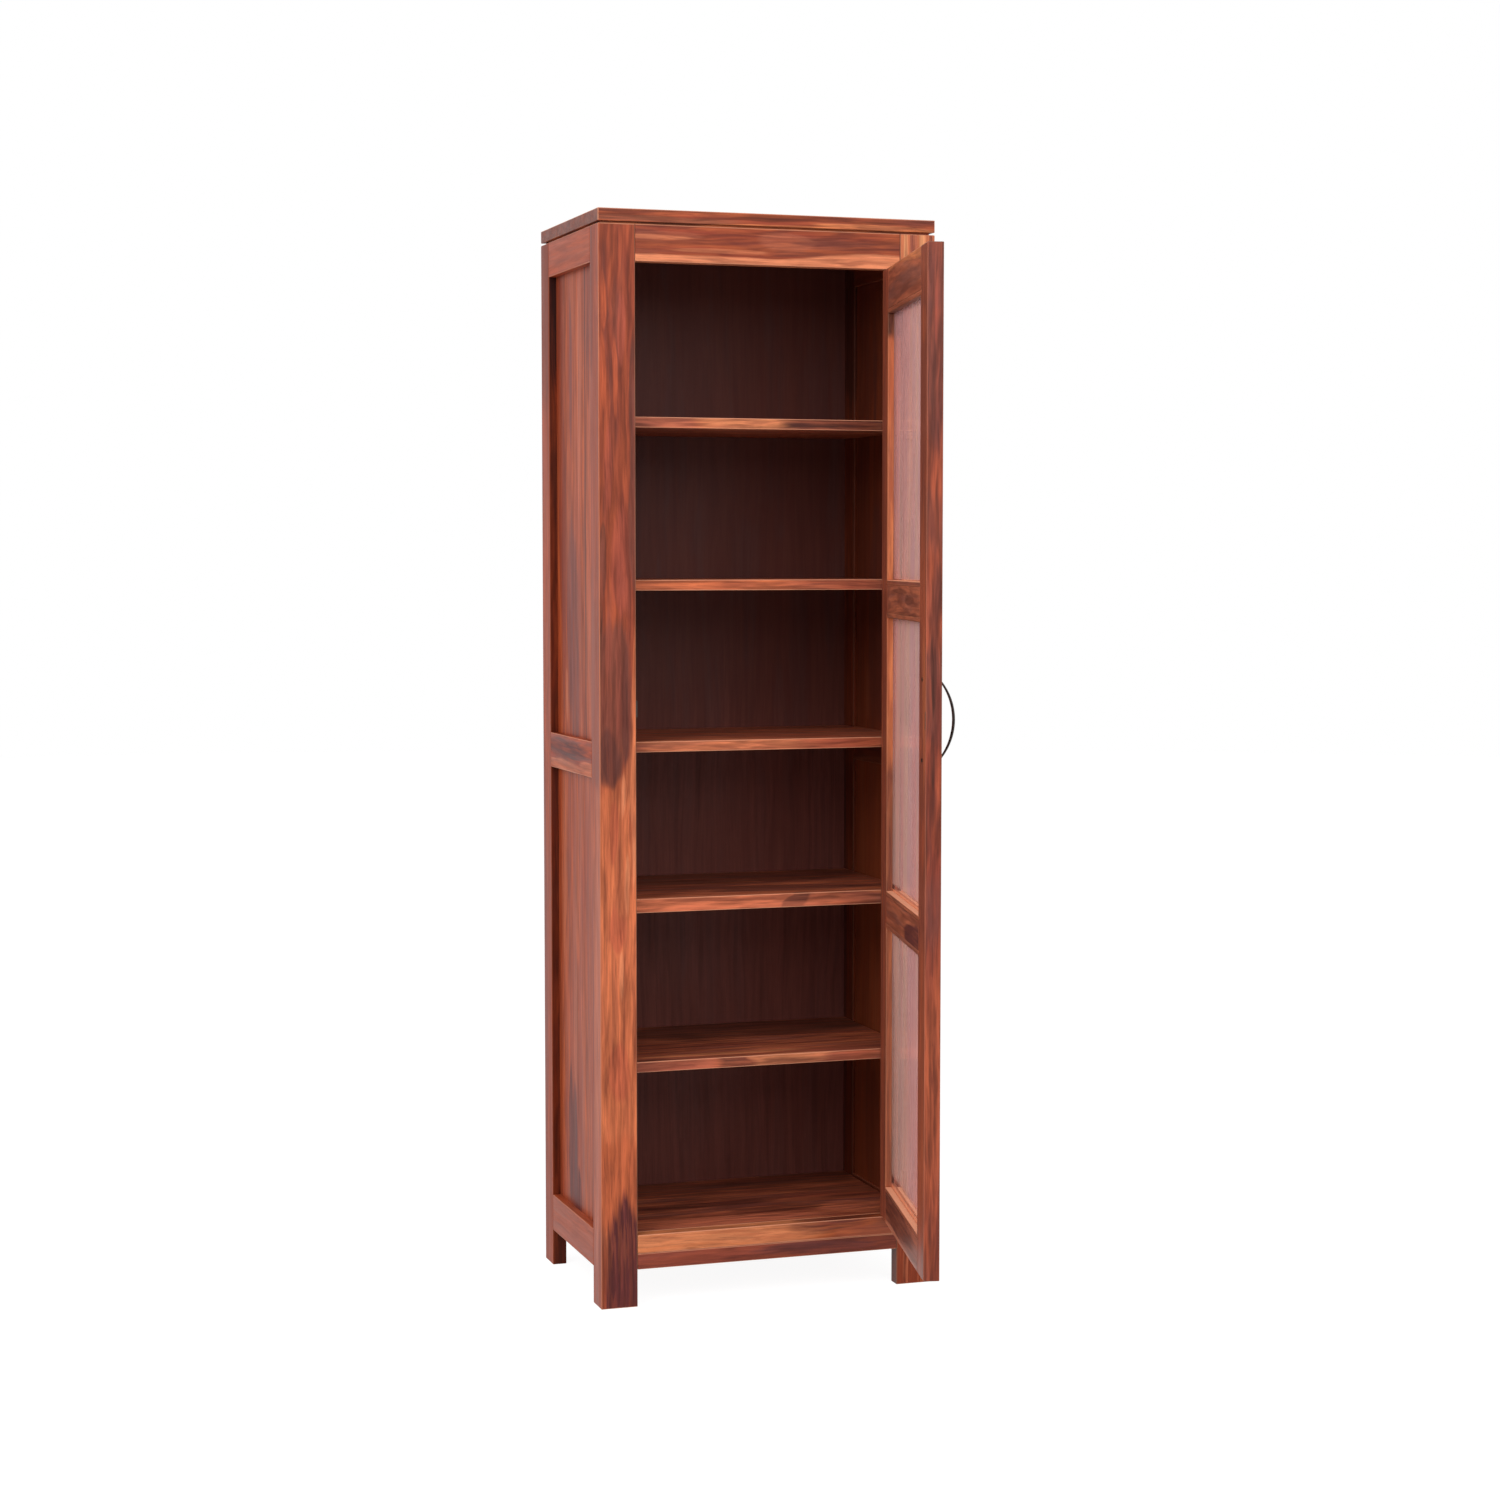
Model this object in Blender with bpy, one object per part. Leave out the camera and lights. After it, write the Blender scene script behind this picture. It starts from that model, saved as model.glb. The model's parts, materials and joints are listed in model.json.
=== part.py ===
"""A tall, narrow bookcase in solid hardwood with one glazed door.

Four legs, joined by rails, hold framed side panels, a thin back, a bottom board and five
shelves. The door turns on three butt hinges at the right front leg. It is a mortised frame
with three panes, each held in its rebate by four mitred beads. The model stands with the
door part open. Units are metres, +Z is up, and the front looks along -Y.
"""

import math

import bmesh
import bpy
from mathutils import Matrix, Vector

# Overall size of the closed case
WIDTH = 0.600
DEPTH = 0.380
HEIGHT = 1.850

# Fits shared by every joint
CLEARANCE = 0.0003
OVERRUN = 0.002
EASE = 0.0012
EASE_STEPS = 2

# Top board, with a rebate under its rim that shows as a shadow line
TOP_THICKNESS = 0.025
SHADOW_GAP = 0.004
SHADOW_INSET = 0.008

# Legs: the front pair is L-shaped, the back pair is plain
LEG_FACE_WIDTH = 0.064
FRONT_THICKNESS = 0.026
FRONT_LEG_DEPTH = 0.0515
SIDE_THICKNESS = 0.025
BACK_LEG_DEPTH = 0.053
FOOT_HEIGHT = 0.064

# Rails of the front, the sides and the back
FRONT_TOP_RAIL_HEIGHT = 0.061
FRONT_BOTTOM_RAIL_HEIGHT = 0.027
SILL_HEIGHT = 0.032
SIDE_TOP_RAIL_HEIGHT = 0.060
SIDE_MIDDLE_RAIL_HEIGHT = 0.061
SIDE_MIDDLE_RAIL_TOP_SHARE = 0.52
SIDE_BOTTOM_RAIL_HEIGHT = 0.064
BACK_RAIL_THICKNESS = 0.024
BACK_TOP_RAIL_HEIGHT = 0.022
BACK_BOTTOM_RAIL_HEIGHT = 0.040

# Tenons of the case
TENON_LENGTH = 0.020
TENON_THICKNESS = 0.009
TENON_SHOULDER = 0.007
SIDE_TENON_SHOULDER = 0.010
BACK_TENON_LENGTH = 0.014
BACK_TENON_SHOULDER = 0.005

# Side panels, let into grooves, and the back, let into a rebate
PANEL_THICKNESS = 0.006
PANEL_RECESS = 0.014
GROOVE_DEPTH = 0.008
PANEL_PLAY = 0.0005
BACK_THICKNESS = 0.005
BACK_REBATE = 0.010

# Shelves, whose corners are housed in the legs
SHELF_COUNT = 5
SHELF_THICKNESS = 0.018
HEAVY_SHELF_INDEX = 2
HEAVY_SHELF_THICKNESS = 0.024
SHELF_SETBACK = 0.004
HOUSING_DEPTH = 0.003
SHELF_SIDE_PLAY = 0.0005

# Door frame
DOOR_SIDE_GAP = 0.002
DOOR_TOP_GAP = 0.003
DOOR_BOTTOM_GAP = 0.004
DOOR_STILE_WIDTH = 0.063
DOOR_TOP_RAIL_HEIGHT = 0.0765
DOOR_MIDDLE_RAIL_HEIGHT = 0.064
DOOR_BOTTOM_RAIL_HEIGHT = 0.062
END_PANE_HEIGHT = 0.450
DOOR_TENON_LENGTH = 0.034
DOOR_TENON_SHOULDER = 0.013

# Glazing
GLASS_LIP = 0.011
GLASS_THICKNESS = 0.004
GLASS_REBATE = 0.008
GLASS_PLAY = 0.0006
MITRE_GAP = 0.0005
BEAD_EASE = 0.0006

# Butt hinges
HINGE_HEIGHT = 0.076
HINGE_FROM_END = 0.140
HINGE_LEAF_WIDTH = 0.0175
HINGE_LEAF_THICKNESS = 0.0020
HINGE_LEAF_GAP = 0.0004
HINGE_BARREL_RADIUS = 0.004
HINGE_BARREL_STANDOFF = 0.0005
HINGE_BORE_RADIUS = 0.0023
HINGE_PIN_RADIUS = 0.0019
HINGE_PIN_HEAD_RADIUS = 0.0033
HINGE_PIN_HEAD = 0.0012
HINGE_KNUCKLES = 5
HINGE_KNUCKLE_GAP = 0.0004
HINGE_SCREWS = 3
HINGE_SCREW_SPACING = 0.026
HINGE_SCREW_HEAD_RADIUS = 0.0031
HINGE_SCREW_HOLE_RADIUS = 0.0018
BARREL_SIDES = 12
PIN_SIDES = 12
HOLE_SIDES = 12

# Bow handle on the free stile
HANDLE_HEIGHT_SHARE = 0.55
HANDLE_SPAN = 0.128
HANDLE_RISE = 0.0234
HANDLE_WIDTH = 0.010
HANDLE_END_WIDTH = 0.007
HANDLE_THICKNESS = 0.0040
HANDLE_END_THICKNESS = 0.0026
HANDLE_STEPS = 28
HANDLE_FOOT_RADIUS = 0.0062
HANDLE_FOOT_HEIGHT = 0.0030
HANDLE_CORNER_SHARE = 0.55
FOOT_SIDES = 20

# Magnetic catch behind the left leg, level with the handle, and its steel plate
CATCH_WIDTH = 0.036
CATCH_NOSE = 0.010
CATCH_DEPTH = 0.012
CATCH_HEIGHT = 0.028
CATCH_FLANGE_HEIGHT = 0.046
CATCH_FLANGE_WIDTH = 0.016
CATCH_FLANGE_THICKNESS = 0.0025
CATCH_HOLE_RADIUS = 0.0017
CATCH_HOLE_FROM_END = 0.0045
CATCH_PLATE_WIDTH = 0.0064
CATCH_PLATE_THICKNESS = 0.0015
CATCH_PLATE_MARGIN = 0.0016

# How far the door stands open
DOOR_REST_ANGLE = math.radians(77.4)

# Finishes: colour, roughness and metallic value
WOOD_FRAME = ((0.33, 0.095, 0.045), 0.42, 0.0)
WOOD_SIDE = ((0.30, 0.11, 0.072), 0.45, 0.0)
WOOD_SHELF = ((0.31, 0.088, 0.042), 0.45, 0.0)
WOOD_DARK = ((0.085, 0.030, 0.020), 0.45, 0.0)
WOOD_DOOR = ((0.24, 0.066, 0.036), 0.42, 0.0)
WOOD_BEAD = ((0.42, 0.15, 0.075), 0.42, 0.0)
BACK_BOARD = ((0.050, 0.024, 0.018), 0.60, 0.0)
GLASS = ((0.86, 0.90, 0.89), 0.04, 0.0)
HINGE_STEEL = ((0.40, 0.31, 0.17), 0.30, 1.0)
HANDLE_METAL = ((0.045, 0.038, 0.034), 0.38, 1.0)
CATCH_BODY = ((0.030, 0.028, 0.027), 0.50, 0.0)
CATCH_STEEL = ((0.55, 0.55, 0.55), 0.30, 1.0)

# Planes of the case, worked out from the sizes above
SIDE_MIDDLE_RAIL_TOP = HEIGHT * SIDE_MIDDLE_RAIL_TOP_SHARE
HANDLE_CENTRE_HEIGHT = HEIGHT * HANDLE_HEIGHT_SHARE
SIDE_X = WIDTH / 2
LEG_EDGE_X = SIDE_X - LEG_FACE_WIDTH
CASE_INNER_X = SIDE_X - SIDE_THICKNESS
PANEL_OUTER_X = SIDE_X - PANEL_RECESS
PANEL_INNER_X = PANEL_OUTER_X - PANEL_THICKNESS
BACK_LEG_Y = DEPTH - BACK_LEG_DEPTH
BACK_FACE_Y = DEPTH - BACK_THICKNESS
CASE_TOP_Z = HEIGHT - TOP_THICKNESS
OPENING_TOP_Z = CASE_TOP_Z - FRONT_TOP_RAIL_HEIGHT
BOTTOM_RAIL_TOP_Z = FOOT_HEIGHT + FRONT_BOTTOM_RAIL_HEIGHT
DECK_Z = BOTTOM_RAIL_TOP_Z + SILL_HEIGHT

# The door, measured from its hinge axis with the door shut
HINGE_AXIS_X = LEG_EDGE_X - DOOR_SIDE_GAP / 2
HINGE_AXIS_Y = -(HINGE_BARREL_RADIUS + HINGE_BARREL_STANDOFF)
DOOR_WIDTH = 2 * (LEG_EDGE_X - DOOR_SIDE_GAP)
DOOR_HINGE_X = -DOOR_SIDE_GAP / 2
DOOR_FREE_X = DOOR_HINGE_X - DOOR_WIDTH
DOOR_FRONT_Y = -HINGE_AXIS_Y
DOOR_BACK_Y = DOOR_FRONT_Y + FRONT_THICKNESS
DOOR_LOW_Z = DECK_Z + DOOR_BOTTOM_GAP
DOOR_HIGH_Z = OPENING_TOP_Z - DOOR_TOP_GAP
SIGHT_LEFT_X = DOOR_FREE_X + DOOR_STILE_WIDTH
SIGHT_RIGHT_X = DOOR_HINGE_X - DOOR_STILE_WIDTH
LOWER_SIGHT_Z = DOOR_LOW_Z + DOOR_BOTTOM_RAIL_HEIGHT
UPPER_SIGHT_Z = DOOR_HIGH_Z - DOOR_TOP_RAIL_HEIGHT

# The open door reaches forward of the case, and the origin lies under the middle of both
DOOR_REACH_Y = (
    HINGE_AXIS_Y
    + DOOR_FREE_X * math.sin(DOOR_REST_ANGLE)
    + DOOR_FRONT_Y * math.cos(DOOR_REST_ANGLE)
)
CASE_SHIFT_Y = -(DEPTH + DOOR_REACH_Y) / 2


def clear_scene():
    for old in list(bpy.data.objects):
        bpy.data.objects.remove(old, do_unlink=True)


def make_finish(name, look):
    colour, roughness, metallic = look
    finish = bpy.data.materials.new(name + "_finish")
    finish.use_nodes = True
    shader = finish.node_tree.nodes["Principled BSDF"]
    shader.inputs["Base Color"].default_value = (*colour, 1)
    shader.inputs["Roughness"].default_value = roughness
    shader.inputs["Metallic"].default_value = metallic
    return finish


def add_box(shape, low, high):
    """A box between two corners, in the frame of the shape."""
    low, high = Vector(low), Vector(high)
    bmesh.ops.create_cube(shape, size=1, matrix=Matrix.LocRotScale((low + high) / 2, None, high - low))


def add_rod(shape, start, end, start_radius, end_radius, sides):
    """A round rod or cone from one point to another."""
    start, end = Vector(start), Vector(end)
    turn = (end - start).to_track_quat("Z", "Y")
    bmesh.ops.create_cone(
        shape,
        cap_ends=True,
        segments=sides,
        radius1=start_radius,
        radius2=end_radius,
        depth=(end - start).length,
        matrix=Matrix.LocRotScale((start + end) / 2, turn, None),
    )


def make_piece(name, shape, parent, look, place=(0, 0, 0)):
    mesh = bpy.data.meshes.new(name)
    bmesh.ops.recalc_face_normals(shape, faces=shape.faces)
    shape.to_mesh(mesh)
    shape.free()
    piece = bpy.data.objects.new(name, mesh)
    piece.parent = parent
    piece.location = place
    mesh.materials.append(make_finish(name, look))
    bpy.context.collection.objects.link(piece)
    return piece


def ease_edges(piece, width=EASE, steps=EASE_STEPS):
    bevel = piece.modifiers.new("eased edges", "BEVEL")
    bevel.width = width
    bevel.segments = steps
    bevel.limit_method = "ANGLE"
    bevel.use_clamp_overlap = True


def board(name, low, high, parent, look, ease=EASE):
    """A straight piece of timber between two corners, with its edges eased."""
    low, high = Vector(low), Vector(high)
    middle = (low + high) / 2
    shape = bmesh.new()
    add_box(shape, low - middle, high - middle)
    piece = make_piece(name, shape, parent, look, middle)
    ease_edges(piece, ease)
    return piece


def flat_shape(outline, axis, low, high):
    """An outline in the plane across an axis, given thickness along that axis."""
    shape = bmesh.new()
    corners = [Vector(point) for point in outline]
    for corner in corners:
        corner.resize_3d()
    order = {"X": (2, 0, 1), "Y": (0, 2, 1), "Z": (0, 1, 2)}[axis]
    base = []
    for corner in corners:
        flat = (corner.x, corner.y, low)
        base.append(shape.verts.new([flat[place] for place in order]))
    face = shape.faces.new(base)
    grown = bmesh.ops.extrude_face_region(shape, geom=[face])
    raised = [part for part in grown["geom"] if isinstance(part, bmesh.types.BMVert)]
    rise = (0, 0, high - low)
    bmesh.ops.translate(shape, verts=raised, vec=[rise[place] for place in order])
    return shape


def alter(piece, label, shape, operation):
    """Cuts a hidden shape from a piece, or joins it on, with a Boolean."""
    mesh = bpy.data.meshes.new(piece.name + "_" + label)
    bmesh.ops.recalc_face_normals(shape, faces=shape.faces)
    shape.to_mesh(mesh)
    shape.free()
    tool = bpy.data.objects.new(mesh.name, mesh)
    tool.parent = piece.parent
    tool.hide_render = True
    tool.display_type = "WIRE"
    bpy.context.collection.objects.link(tool)
    change = piece.modifiers.new(label, "BOOLEAN")
    change.operation = operation
    change.object = tool
    change.solver = "EXACT"


def cut_boxes(piece, label, boxes):
    shape = bmesh.new()
    for low, high in boxes:
        add_box(shape, low, high)
    alter(piece, label, shape, "DIFFERENCE")


def join_boxes(piece, label, boxes):
    shape = bmesh.new()
    for low, high in boxes:
        add_box(shape, low, high)
    alter(piece, label, shape, "UNION")


def grown(box, margin=CLEARANCE):
    """The same box with a margin all round, for the recess that takes it."""
    low, high = box
    return [value - margin for value in low], [value + margin for value in high]


def spread(side, near, far):
    """The two X values of something near and far from the middle, lowest first."""
    return sorted((side * near, side * far))


def case_tenons(side, rail_span):
    """Tenon boxes at the leg ends of a front or back rail that spans these corners."""
    (low_z, high_z), (low_y, high_y), edge, length, shoulder = rail_span
    near, far = spread(side, edge - OVERRUN, edge + length)
    return (near, low_y, low_z + shoulder), (far, high_y, high_z - shoulder)


def side_tenons(low_z, high_z, side):
    """Tenon boxes of a side rail, in line with the groove for the panel."""
    near, far = spread(side, PANEL_INNER_X, PANEL_OUTER_X)
    low, high = low_z + SIDE_TENON_SHOULDER, high_z - SIDE_TENON_SHOULDER
    front = (
        (near, FRONT_LEG_DEPTH - TENON_LENGTH, low),
        (far, FRONT_LEG_DEPTH + OVERRUN, high),
    )
    back = (
        (near, BACK_LEG_Y - OVERRUN, low),
        (far, BACK_LEG_Y + TENON_LENGTH, high),
    )
    return front, back


def shelf_levels():
    """Name, underside, thickness and front edge of the bottom board and each shelf."""
    pitch = (OPENING_TOP_Z - DECK_Z) / (SHELF_COUNT + 1)
    deck_bottom = DECK_Z - SHELF_THICKNESS
    deck_front = FRONT_THICKNESS + 2 * CLEARANCE
    levels = [("bottom_board", deck_bottom, SHELF_THICKNESS, deck_front)]
    for number in range(1, SHELF_COUNT + 1):
        thickness = HEAVY_SHELF_THICKNESS if number == HEAVY_SHELF_INDEX else SHELF_THICKNESS
        front = FRONT_THICKNESS + SHELF_SETBACK
        levels.append((f"shelf_{number}", DECK_Z + number * pitch, thickness, front))
    return levels


def hinge_heights():
    """Name and middle height of the three hinges."""
    return (
        ("lower", DOOR_LOW_Z + HINGE_FROM_END),
        ("middle", (DOOR_LOW_Z + DOOR_HIGH_Z) / 2),
        ("upper", DOOR_HIGH_Z - HINGE_FROM_END),
    )


def panes():
    """Name, bottom and top of the three openings in the door frame."""
    lower_rail = LOWER_SIGHT_Z + END_PANE_HEIGHT
    upper_rail = UPPER_SIGHT_Z - END_PANE_HEIGHT
    return (
        ("lower", LOWER_SIGHT_Z, lower_rail),
        ("middle", lower_rail + DOOR_MIDDLE_RAIL_HEIGHT, upper_rail - DOOR_MIDDLE_RAIL_HEIGHT),
        ("upper", upper_rail, UPPER_SIGHT_Z),
    )


def side_rail_spans():
    """Name, bottom and top of the three rails in each side."""
    return (
        ("top", CASE_TOP_Z - SIDE_TOP_RAIL_HEIGHT, CASE_TOP_Z),
        ("middle", SIDE_MIDDLE_RAIL_TOP - SIDE_MIDDLE_RAIL_HEIGHT, SIDE_MIDDLE_RAIL_TOP),
        ("bottom", FOOT_HEIGHT, FOOT_HEIGHT + SIDE_BOTTOM_RAIL_HEIGHT),
    )


def cross_rail_spans():
    """Name and joint values of the rails that run from leg to leg across the case."""
    tenon_low = (FRONT_THICKNESS - TENON_THICKNESS) / 2
    front = (tenon_low, tenon_low + TENON_THICKNESS)
    back_high = BACK_FACE_Y - 2 * CLEARANCE
    middle = back_high - BACK_RAIL_THICKNESS / 2
    back = (middle - TENON_THICKNESS / 2, middle + TENON_THICKNESS / 2)
    deck_bottom = DECK_Z - SHELF_THICKNESS - CLEARANCE
    front_joint = (LEG_EDGE_X, TENON_LENGTH, TENON_SHOULDER)
    back_joint = (CASE_INNER_X, BACK_TENON_LENGTH, BACK_TENON_SHOULDER)
    return {
        "front_top_rail": ((OPENING_TOP_Z, CASE_TOP_Z), front, *front_joint),
        "front_sill": ((BOTTOM_RAIL_TOP_Z + CLEARANCE, DECK_Z), front, *front_joint),
        "front_bottom_rail": ((FOOT_HEIGHT, BOTTOM_RAIL_TOP_Z), front, *front_joint),
        "back_top_rail": ((CASE_TOP_Z - BACK_TOP_RAIL_HEIGHT, CASE_TOP_Z), back, *back_joint),
        "back_bottom_rail": ((deck_bottom - BACK_BOTTOM_RAIL_HEIGHT, deck_bottom), back, *back_joint),
    }


def make_top(case):
    """The top board, rebated under its rim so that it seems to float on the case."""
    shape = bmesh.new()
    slab_low = CASE_TOP_Z + SHADOW_GAP
    middle = Vector((0, DEPTH / 2, (slab_low + HEIGHT) / 2))
    slab_corners = (-SIDE_X, 0, slab_low), (SIDE_X, DEPTH, HEIGHT)
    add_box(shape, *(Vector(corner) - middle for corner in slab_corners))
    top = make_piece("top_panel", shape, case, WOOD_FRAME, middle)
    ease_edges(top)
    field_low = (-SIDE_X + SHADOW_INSET, SHADOW_INSET, CASE_TOP_Z + CLEARANCE)
    field_high = (SIDE_X - SHADOW_INSET, DEPTH - SHADOW_INSET, slab_low + OVERRUN)
    join_boxes(top, "raised_field", [(field_low, field_high)])


def make_front_leg(case, side, name):
    """An L-shaped leg: a broad face in front, and a return that carries the side."""
    edge, inner, outer = side * LEG_EDGE_X, side * CASE_INNER_X, side * SIDE_X
    outline = [
        (edge, 0),
        (outer, 0),
        (outer, FRONT_LEG_DEPTH),
        (inner, FRONT_LEG_DEPTH),
        (inner, FRONT_THICKNESS),
        (edge, FRONT_THICKNESS),
    ]
    shape = flat_shape(outline, "Z", 0, CASE_TOP_Z)
    leg = make_piece(name, shape, case, WOOD_FRAME)
    ease_edges(leg)
    mortises = [
        grown(case_tenons(side, span))
        for rail, span in cross_rail_spans().items()
        if rail.startswith("front")
    ]
    mortises += [grown(side_tenons(low, high, side)[0]) for _, low, high in side_rail_spans()]
    cut_boxes(leg, "mortises", mortises)
    near, far = spread(side, PANEL_INNER_X - CLEARANCE, PANEL_OUTER_X + CLEARANCE)
    groove_low = (near, FRONT_LEG_DEPTH - GROOVE_DEPTH, FOOT_HEIGHT + TENON_SHOULDER)
    groove_high = (far, FRONT_LEG_DEPTH + OVERRUN, CASE_TOP_Z - TENON_SHOULDER)
    cut_boxes(leg, "panel_groove", [(groove_low, groove_high)])
    cut_boxes(leg, "shelf_housings", housings(side, FRONT_LEG_DEPTH + OVERRUN, True))
    return leg


def make_back_leg(case, side, name):
    """A plain leg with a groove for the panels and a rebate for the back."""
    near, far = spread(side, CASE_INNER_X, SIDE_X)
    leg = board(name, (near, BACK_LEG_Y, 0), (far, DEPTH, CASE_TOP_Z), case, WOOD_SIDE)
    mortises = [
        grown(case_tenons(side, span))
        for rail, span in cross_rail_spans().items()
        if rail.startswith("back")
    ]
    mortises += [grown(side_tenons(low, high, side)[1]) for _, low, high in side_rail_spans()]
    cut_boxes(leg, "mortises", mortises)
    near, far = spread(side, PANEL_INNER_X - CLEARANCE, PANEL_OUTER_X + CLEARANCE)
    groove_low = (near, BACK_LEG_Y - OVERRUN, FOOT_HEIGHT + TENON_SHOULDER)
    groove_high = (far, BACK_LEG_Y + GROOVE_DEPTH, CASE_TOP_Z - TENON_SHOULDER)
    cut_boxes(leg, "panel_groove", [(groove_low, groove_high)])
    near, far = spread(side, CASE_INNER_X - OVERRUN, CASE_INNER_X + BACK_REBATE)
    rebate_low = (near, BACK_FACE_Y - CLEARANCE, FOOT_HEIGHT)
    rebate_high = (far, DEPTH + OVERRUN, CASE_TOP_Z + OVERRUN)
    cut_boxes(leg, "back_rebate", [(rebate_low, rebate_high)])
    cut_boxes(leg, "shelf_housings", housings(side, BACK_LEG_Y - OVERRUN, False))
    return leg


def housings(side, open_y, in_front):
    """Recesses across a leg for the corners of the shelves and the bottom board."""
    near, far = spread(side, CASE_INNER_X - OVERRUN, CASE_INNER_X + HOUSING_DEPTH + CLEARANCE)
    recesses = []
    for _, low_z, thickness, front_y in shelf_levels():
        closed_y = front_y - CLEARANCE if in_front else BACK_FACE_Y
        low_y, high_y = sorted((open_y, closed_y))
        low = (near, low_y, low_z - CLEARANCE)
        recesses.append((low, (far, high_y, low_z + thickness + CLEARANCE)))
    return recesses


def make_cross_rail(case, name, look):
    """A rail that runs across the case, with a tenon at each end."""
    span = cross_rail_spans()[name]
    (low_z, high_z), _, edge, _, _ = span
    low_y, high_y = 0, FRONT_THICKNESS
    if name.startswith("back"):
        high_y = BACK_FACE_Y - 2 * CLEARANCE
        low_y = high_y - BACK_RAIL_THICKNESS
    reach = edge - CLEARANCE
    rail = board(name, (-reach, low_y, low_z), (reach, high_y, high_z), case, look)
    join_boxes(rail, "tenons", [case_tenons(side, span) for side in (-1, 1)])


def make_side(case, side, word):
    """One side: three rails between the legs, and two panels in their grooves."""
    near, far = spread(side, CASE_INNER_X, SIDE_X)
    groove_near, groove_far = spread(side, PANEL_INNER_X - CLEARANCE, PANEL_OUTER_X + CLEARANCE)
    low_y, high_y = FRONT_LEG_DEPTH + CLEARANCE, BACK_LEG_Y - CLEARANCE
    spans = side_rail_spans()
    for position, low, high in spans:
        name = f"{word}_{position}_rail"
        rail = board(name, (near, low_y, low), (far, high_y, high), case, WOOD_SIDE)
        join_boxes(rail, "tenons", side_tenons(low, high, side))
        grooves = []
        if position != "top":
            grooves.append(
                (
                    (groove_near, low_y - OVERRUN, high - GROOVE_DEPTH),
                    (groove_far, high_y + OVERRUN, high + OVERRUN),
                )
            )
        if position != "bottom":
            grooves.append(
                (
                    (groove_near, low_y - OVERRUN, low - OVERRUN),
                    (groove_far, high_y + OVERRUN, low + GROOVE_DEPTH),
                )
            )
        cut_boxes(rail, "panel_grooves", grooves)
    lap = GROOVE_DEPTH - PANEL_PLAY
    near, far = spread(side, PANEL_INNER_X, PANEL_OUTER_X)
    (_, top_low, _), (_, middle_low, middle_high), (_, _, bottom_high) = spans
    for position, low, high in (
        ("upper", middle_high, top_low),
        ("lower", bottom_high, middle_low),
    ):
        panel_low = (near, FRONT_LEG_DEPTH - lap, low - lap)
        panel_high = (far, BACK_LEG_Y + lap, high + lap)
        name = f"{word}_{position}_panel"
        board(name, panel_low, panel_high, case, WOOD_SIDE, BEAD_EASE)


def make_back(case):
    reach = CASE_INNER_X + BACK_REBATE - PANEL_PLAY
    low = (-reach, BACK_FACE_Y, FOOT_HEIGHT + CLEARANCE)
    high = (reach, DEPTH, CASE_TOP_Z - CLEARANCE)
    board("back_panel", low, high, case, BACK_BOARD, BEAD_EASE)


def make_shelves(case):
    """The bottom board and the shelves: boards with an ear at each corner."""
    wide = CASE_INNER_X + HOUSING_DEPTH
    narrow = CASE_INNER_X - SHELF_SIDE_PLAY
    rear = BACK_FACE_Y - 2 * CLEARANCE
    for name, low_z, thickness, front in shelf_levels():
        quarter = [
            (narrow, FRONT_LEG_DEPTH - CLEARANCE),
            (wide, FRONT_LEG_DEPTH - CLEARANCE),
            (wide, front),
        ]
        rear_quarter = [
            (wide, rear),
            (wide, BACK_LEG_Y + CLEARANCE),
            (narrow, BACK_LEG_Y + CLEARANCE),
        ]
        right = rear_quarter + quarter
        outline = right + [(-x, y) for x, y in reversed(right)]
        middle = Vector((0, (front + rear) / 2, low_z + thickness / 2))
        outline = [(x, y - middle.y) for x, y in outline]
        shape = flat_shape(outline, "Z", -thickness / 2, thickness / 2)
        shelf = make_piece(name, shape, case, WOOD_SHELF, middle)
        ease_edges(shelf)


def make_catch(case):
    """A magnetic catch screwed behind the left leg, whose nose stops the door."""
    nose_x = -LEG_EDGE_X + CATCH_NOSE
    low_y = FRONT_THICKNESS + CLEARANCE
    half = CATCH_HEIGHT / 2
    low = (nose_x - CATCH_WIDTH, low_y, HANDLE_CENTRE_HEIGHT - half)
    high = (nose_x, low_y + CATCH_DEPTH, HANDLE_CENTRE_HEIGHT + half)
    catch = board("door_catch", low, high, case, CATCH_BODY, BEAD_EASE)
    flange_x = nose_x - CATCH_WIDTH / 2
    flange_half = CATCH_FLANGE_HEIGHT / 2
    flange_low = (flange_x - CATCH_FLANGE_WIDTH / 2, low_y, HANDLE_CENTRE_HEIGHT - flange_half)
    flange_high = (
        flange_x + CATCH_FLANGE_WIDTH / 2,
        low_y + CATCH_FLANGE_THICKNESS,
        HANDLE_CENTRE_HEIGHT + flange_half,
    )
    join_boxes(catch, "flange", [(flange_low, flange_high)])
    holes = bmesh.new()
    for side in (-1, 1):
        height = HANDLE_CENTRE_HEIGHT + side * (flange_half - CATCH_HOLE_FROM_END)
        start = (flange_x, low_y - OVERRUN, height)
        end = (flange_x, low_y + CATCH_FLANGE_THICKNESS + OVERRUN, height)
        add_rod(holes, start, end, CATCH_HOLE_RADIUS, CATCH_HOLE_RADIUS, HOLE_SIDES)
    alter(catch, "screw_holes", holes, "DIFFERENCE")


def catch_plate_box():
    """The steel plate let into the inner face of the free stile, facing the catch."""
    half = CATCH_HEIGHT / 2
    low_x = DOOR_FREE_X + CATCH_PLATE_MARGIN
    return (
        (low_x, DOOR_BACK_Y - CATCH_PLATE_THICKNESS, HANDLE_CENTRE_HEIGHT - half),
        (low_x + CATCH_PLATE_WIDTH, DOOR_BACK_Y, HANDLE_CENTRE_HEIGHT + half),
    )


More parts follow.
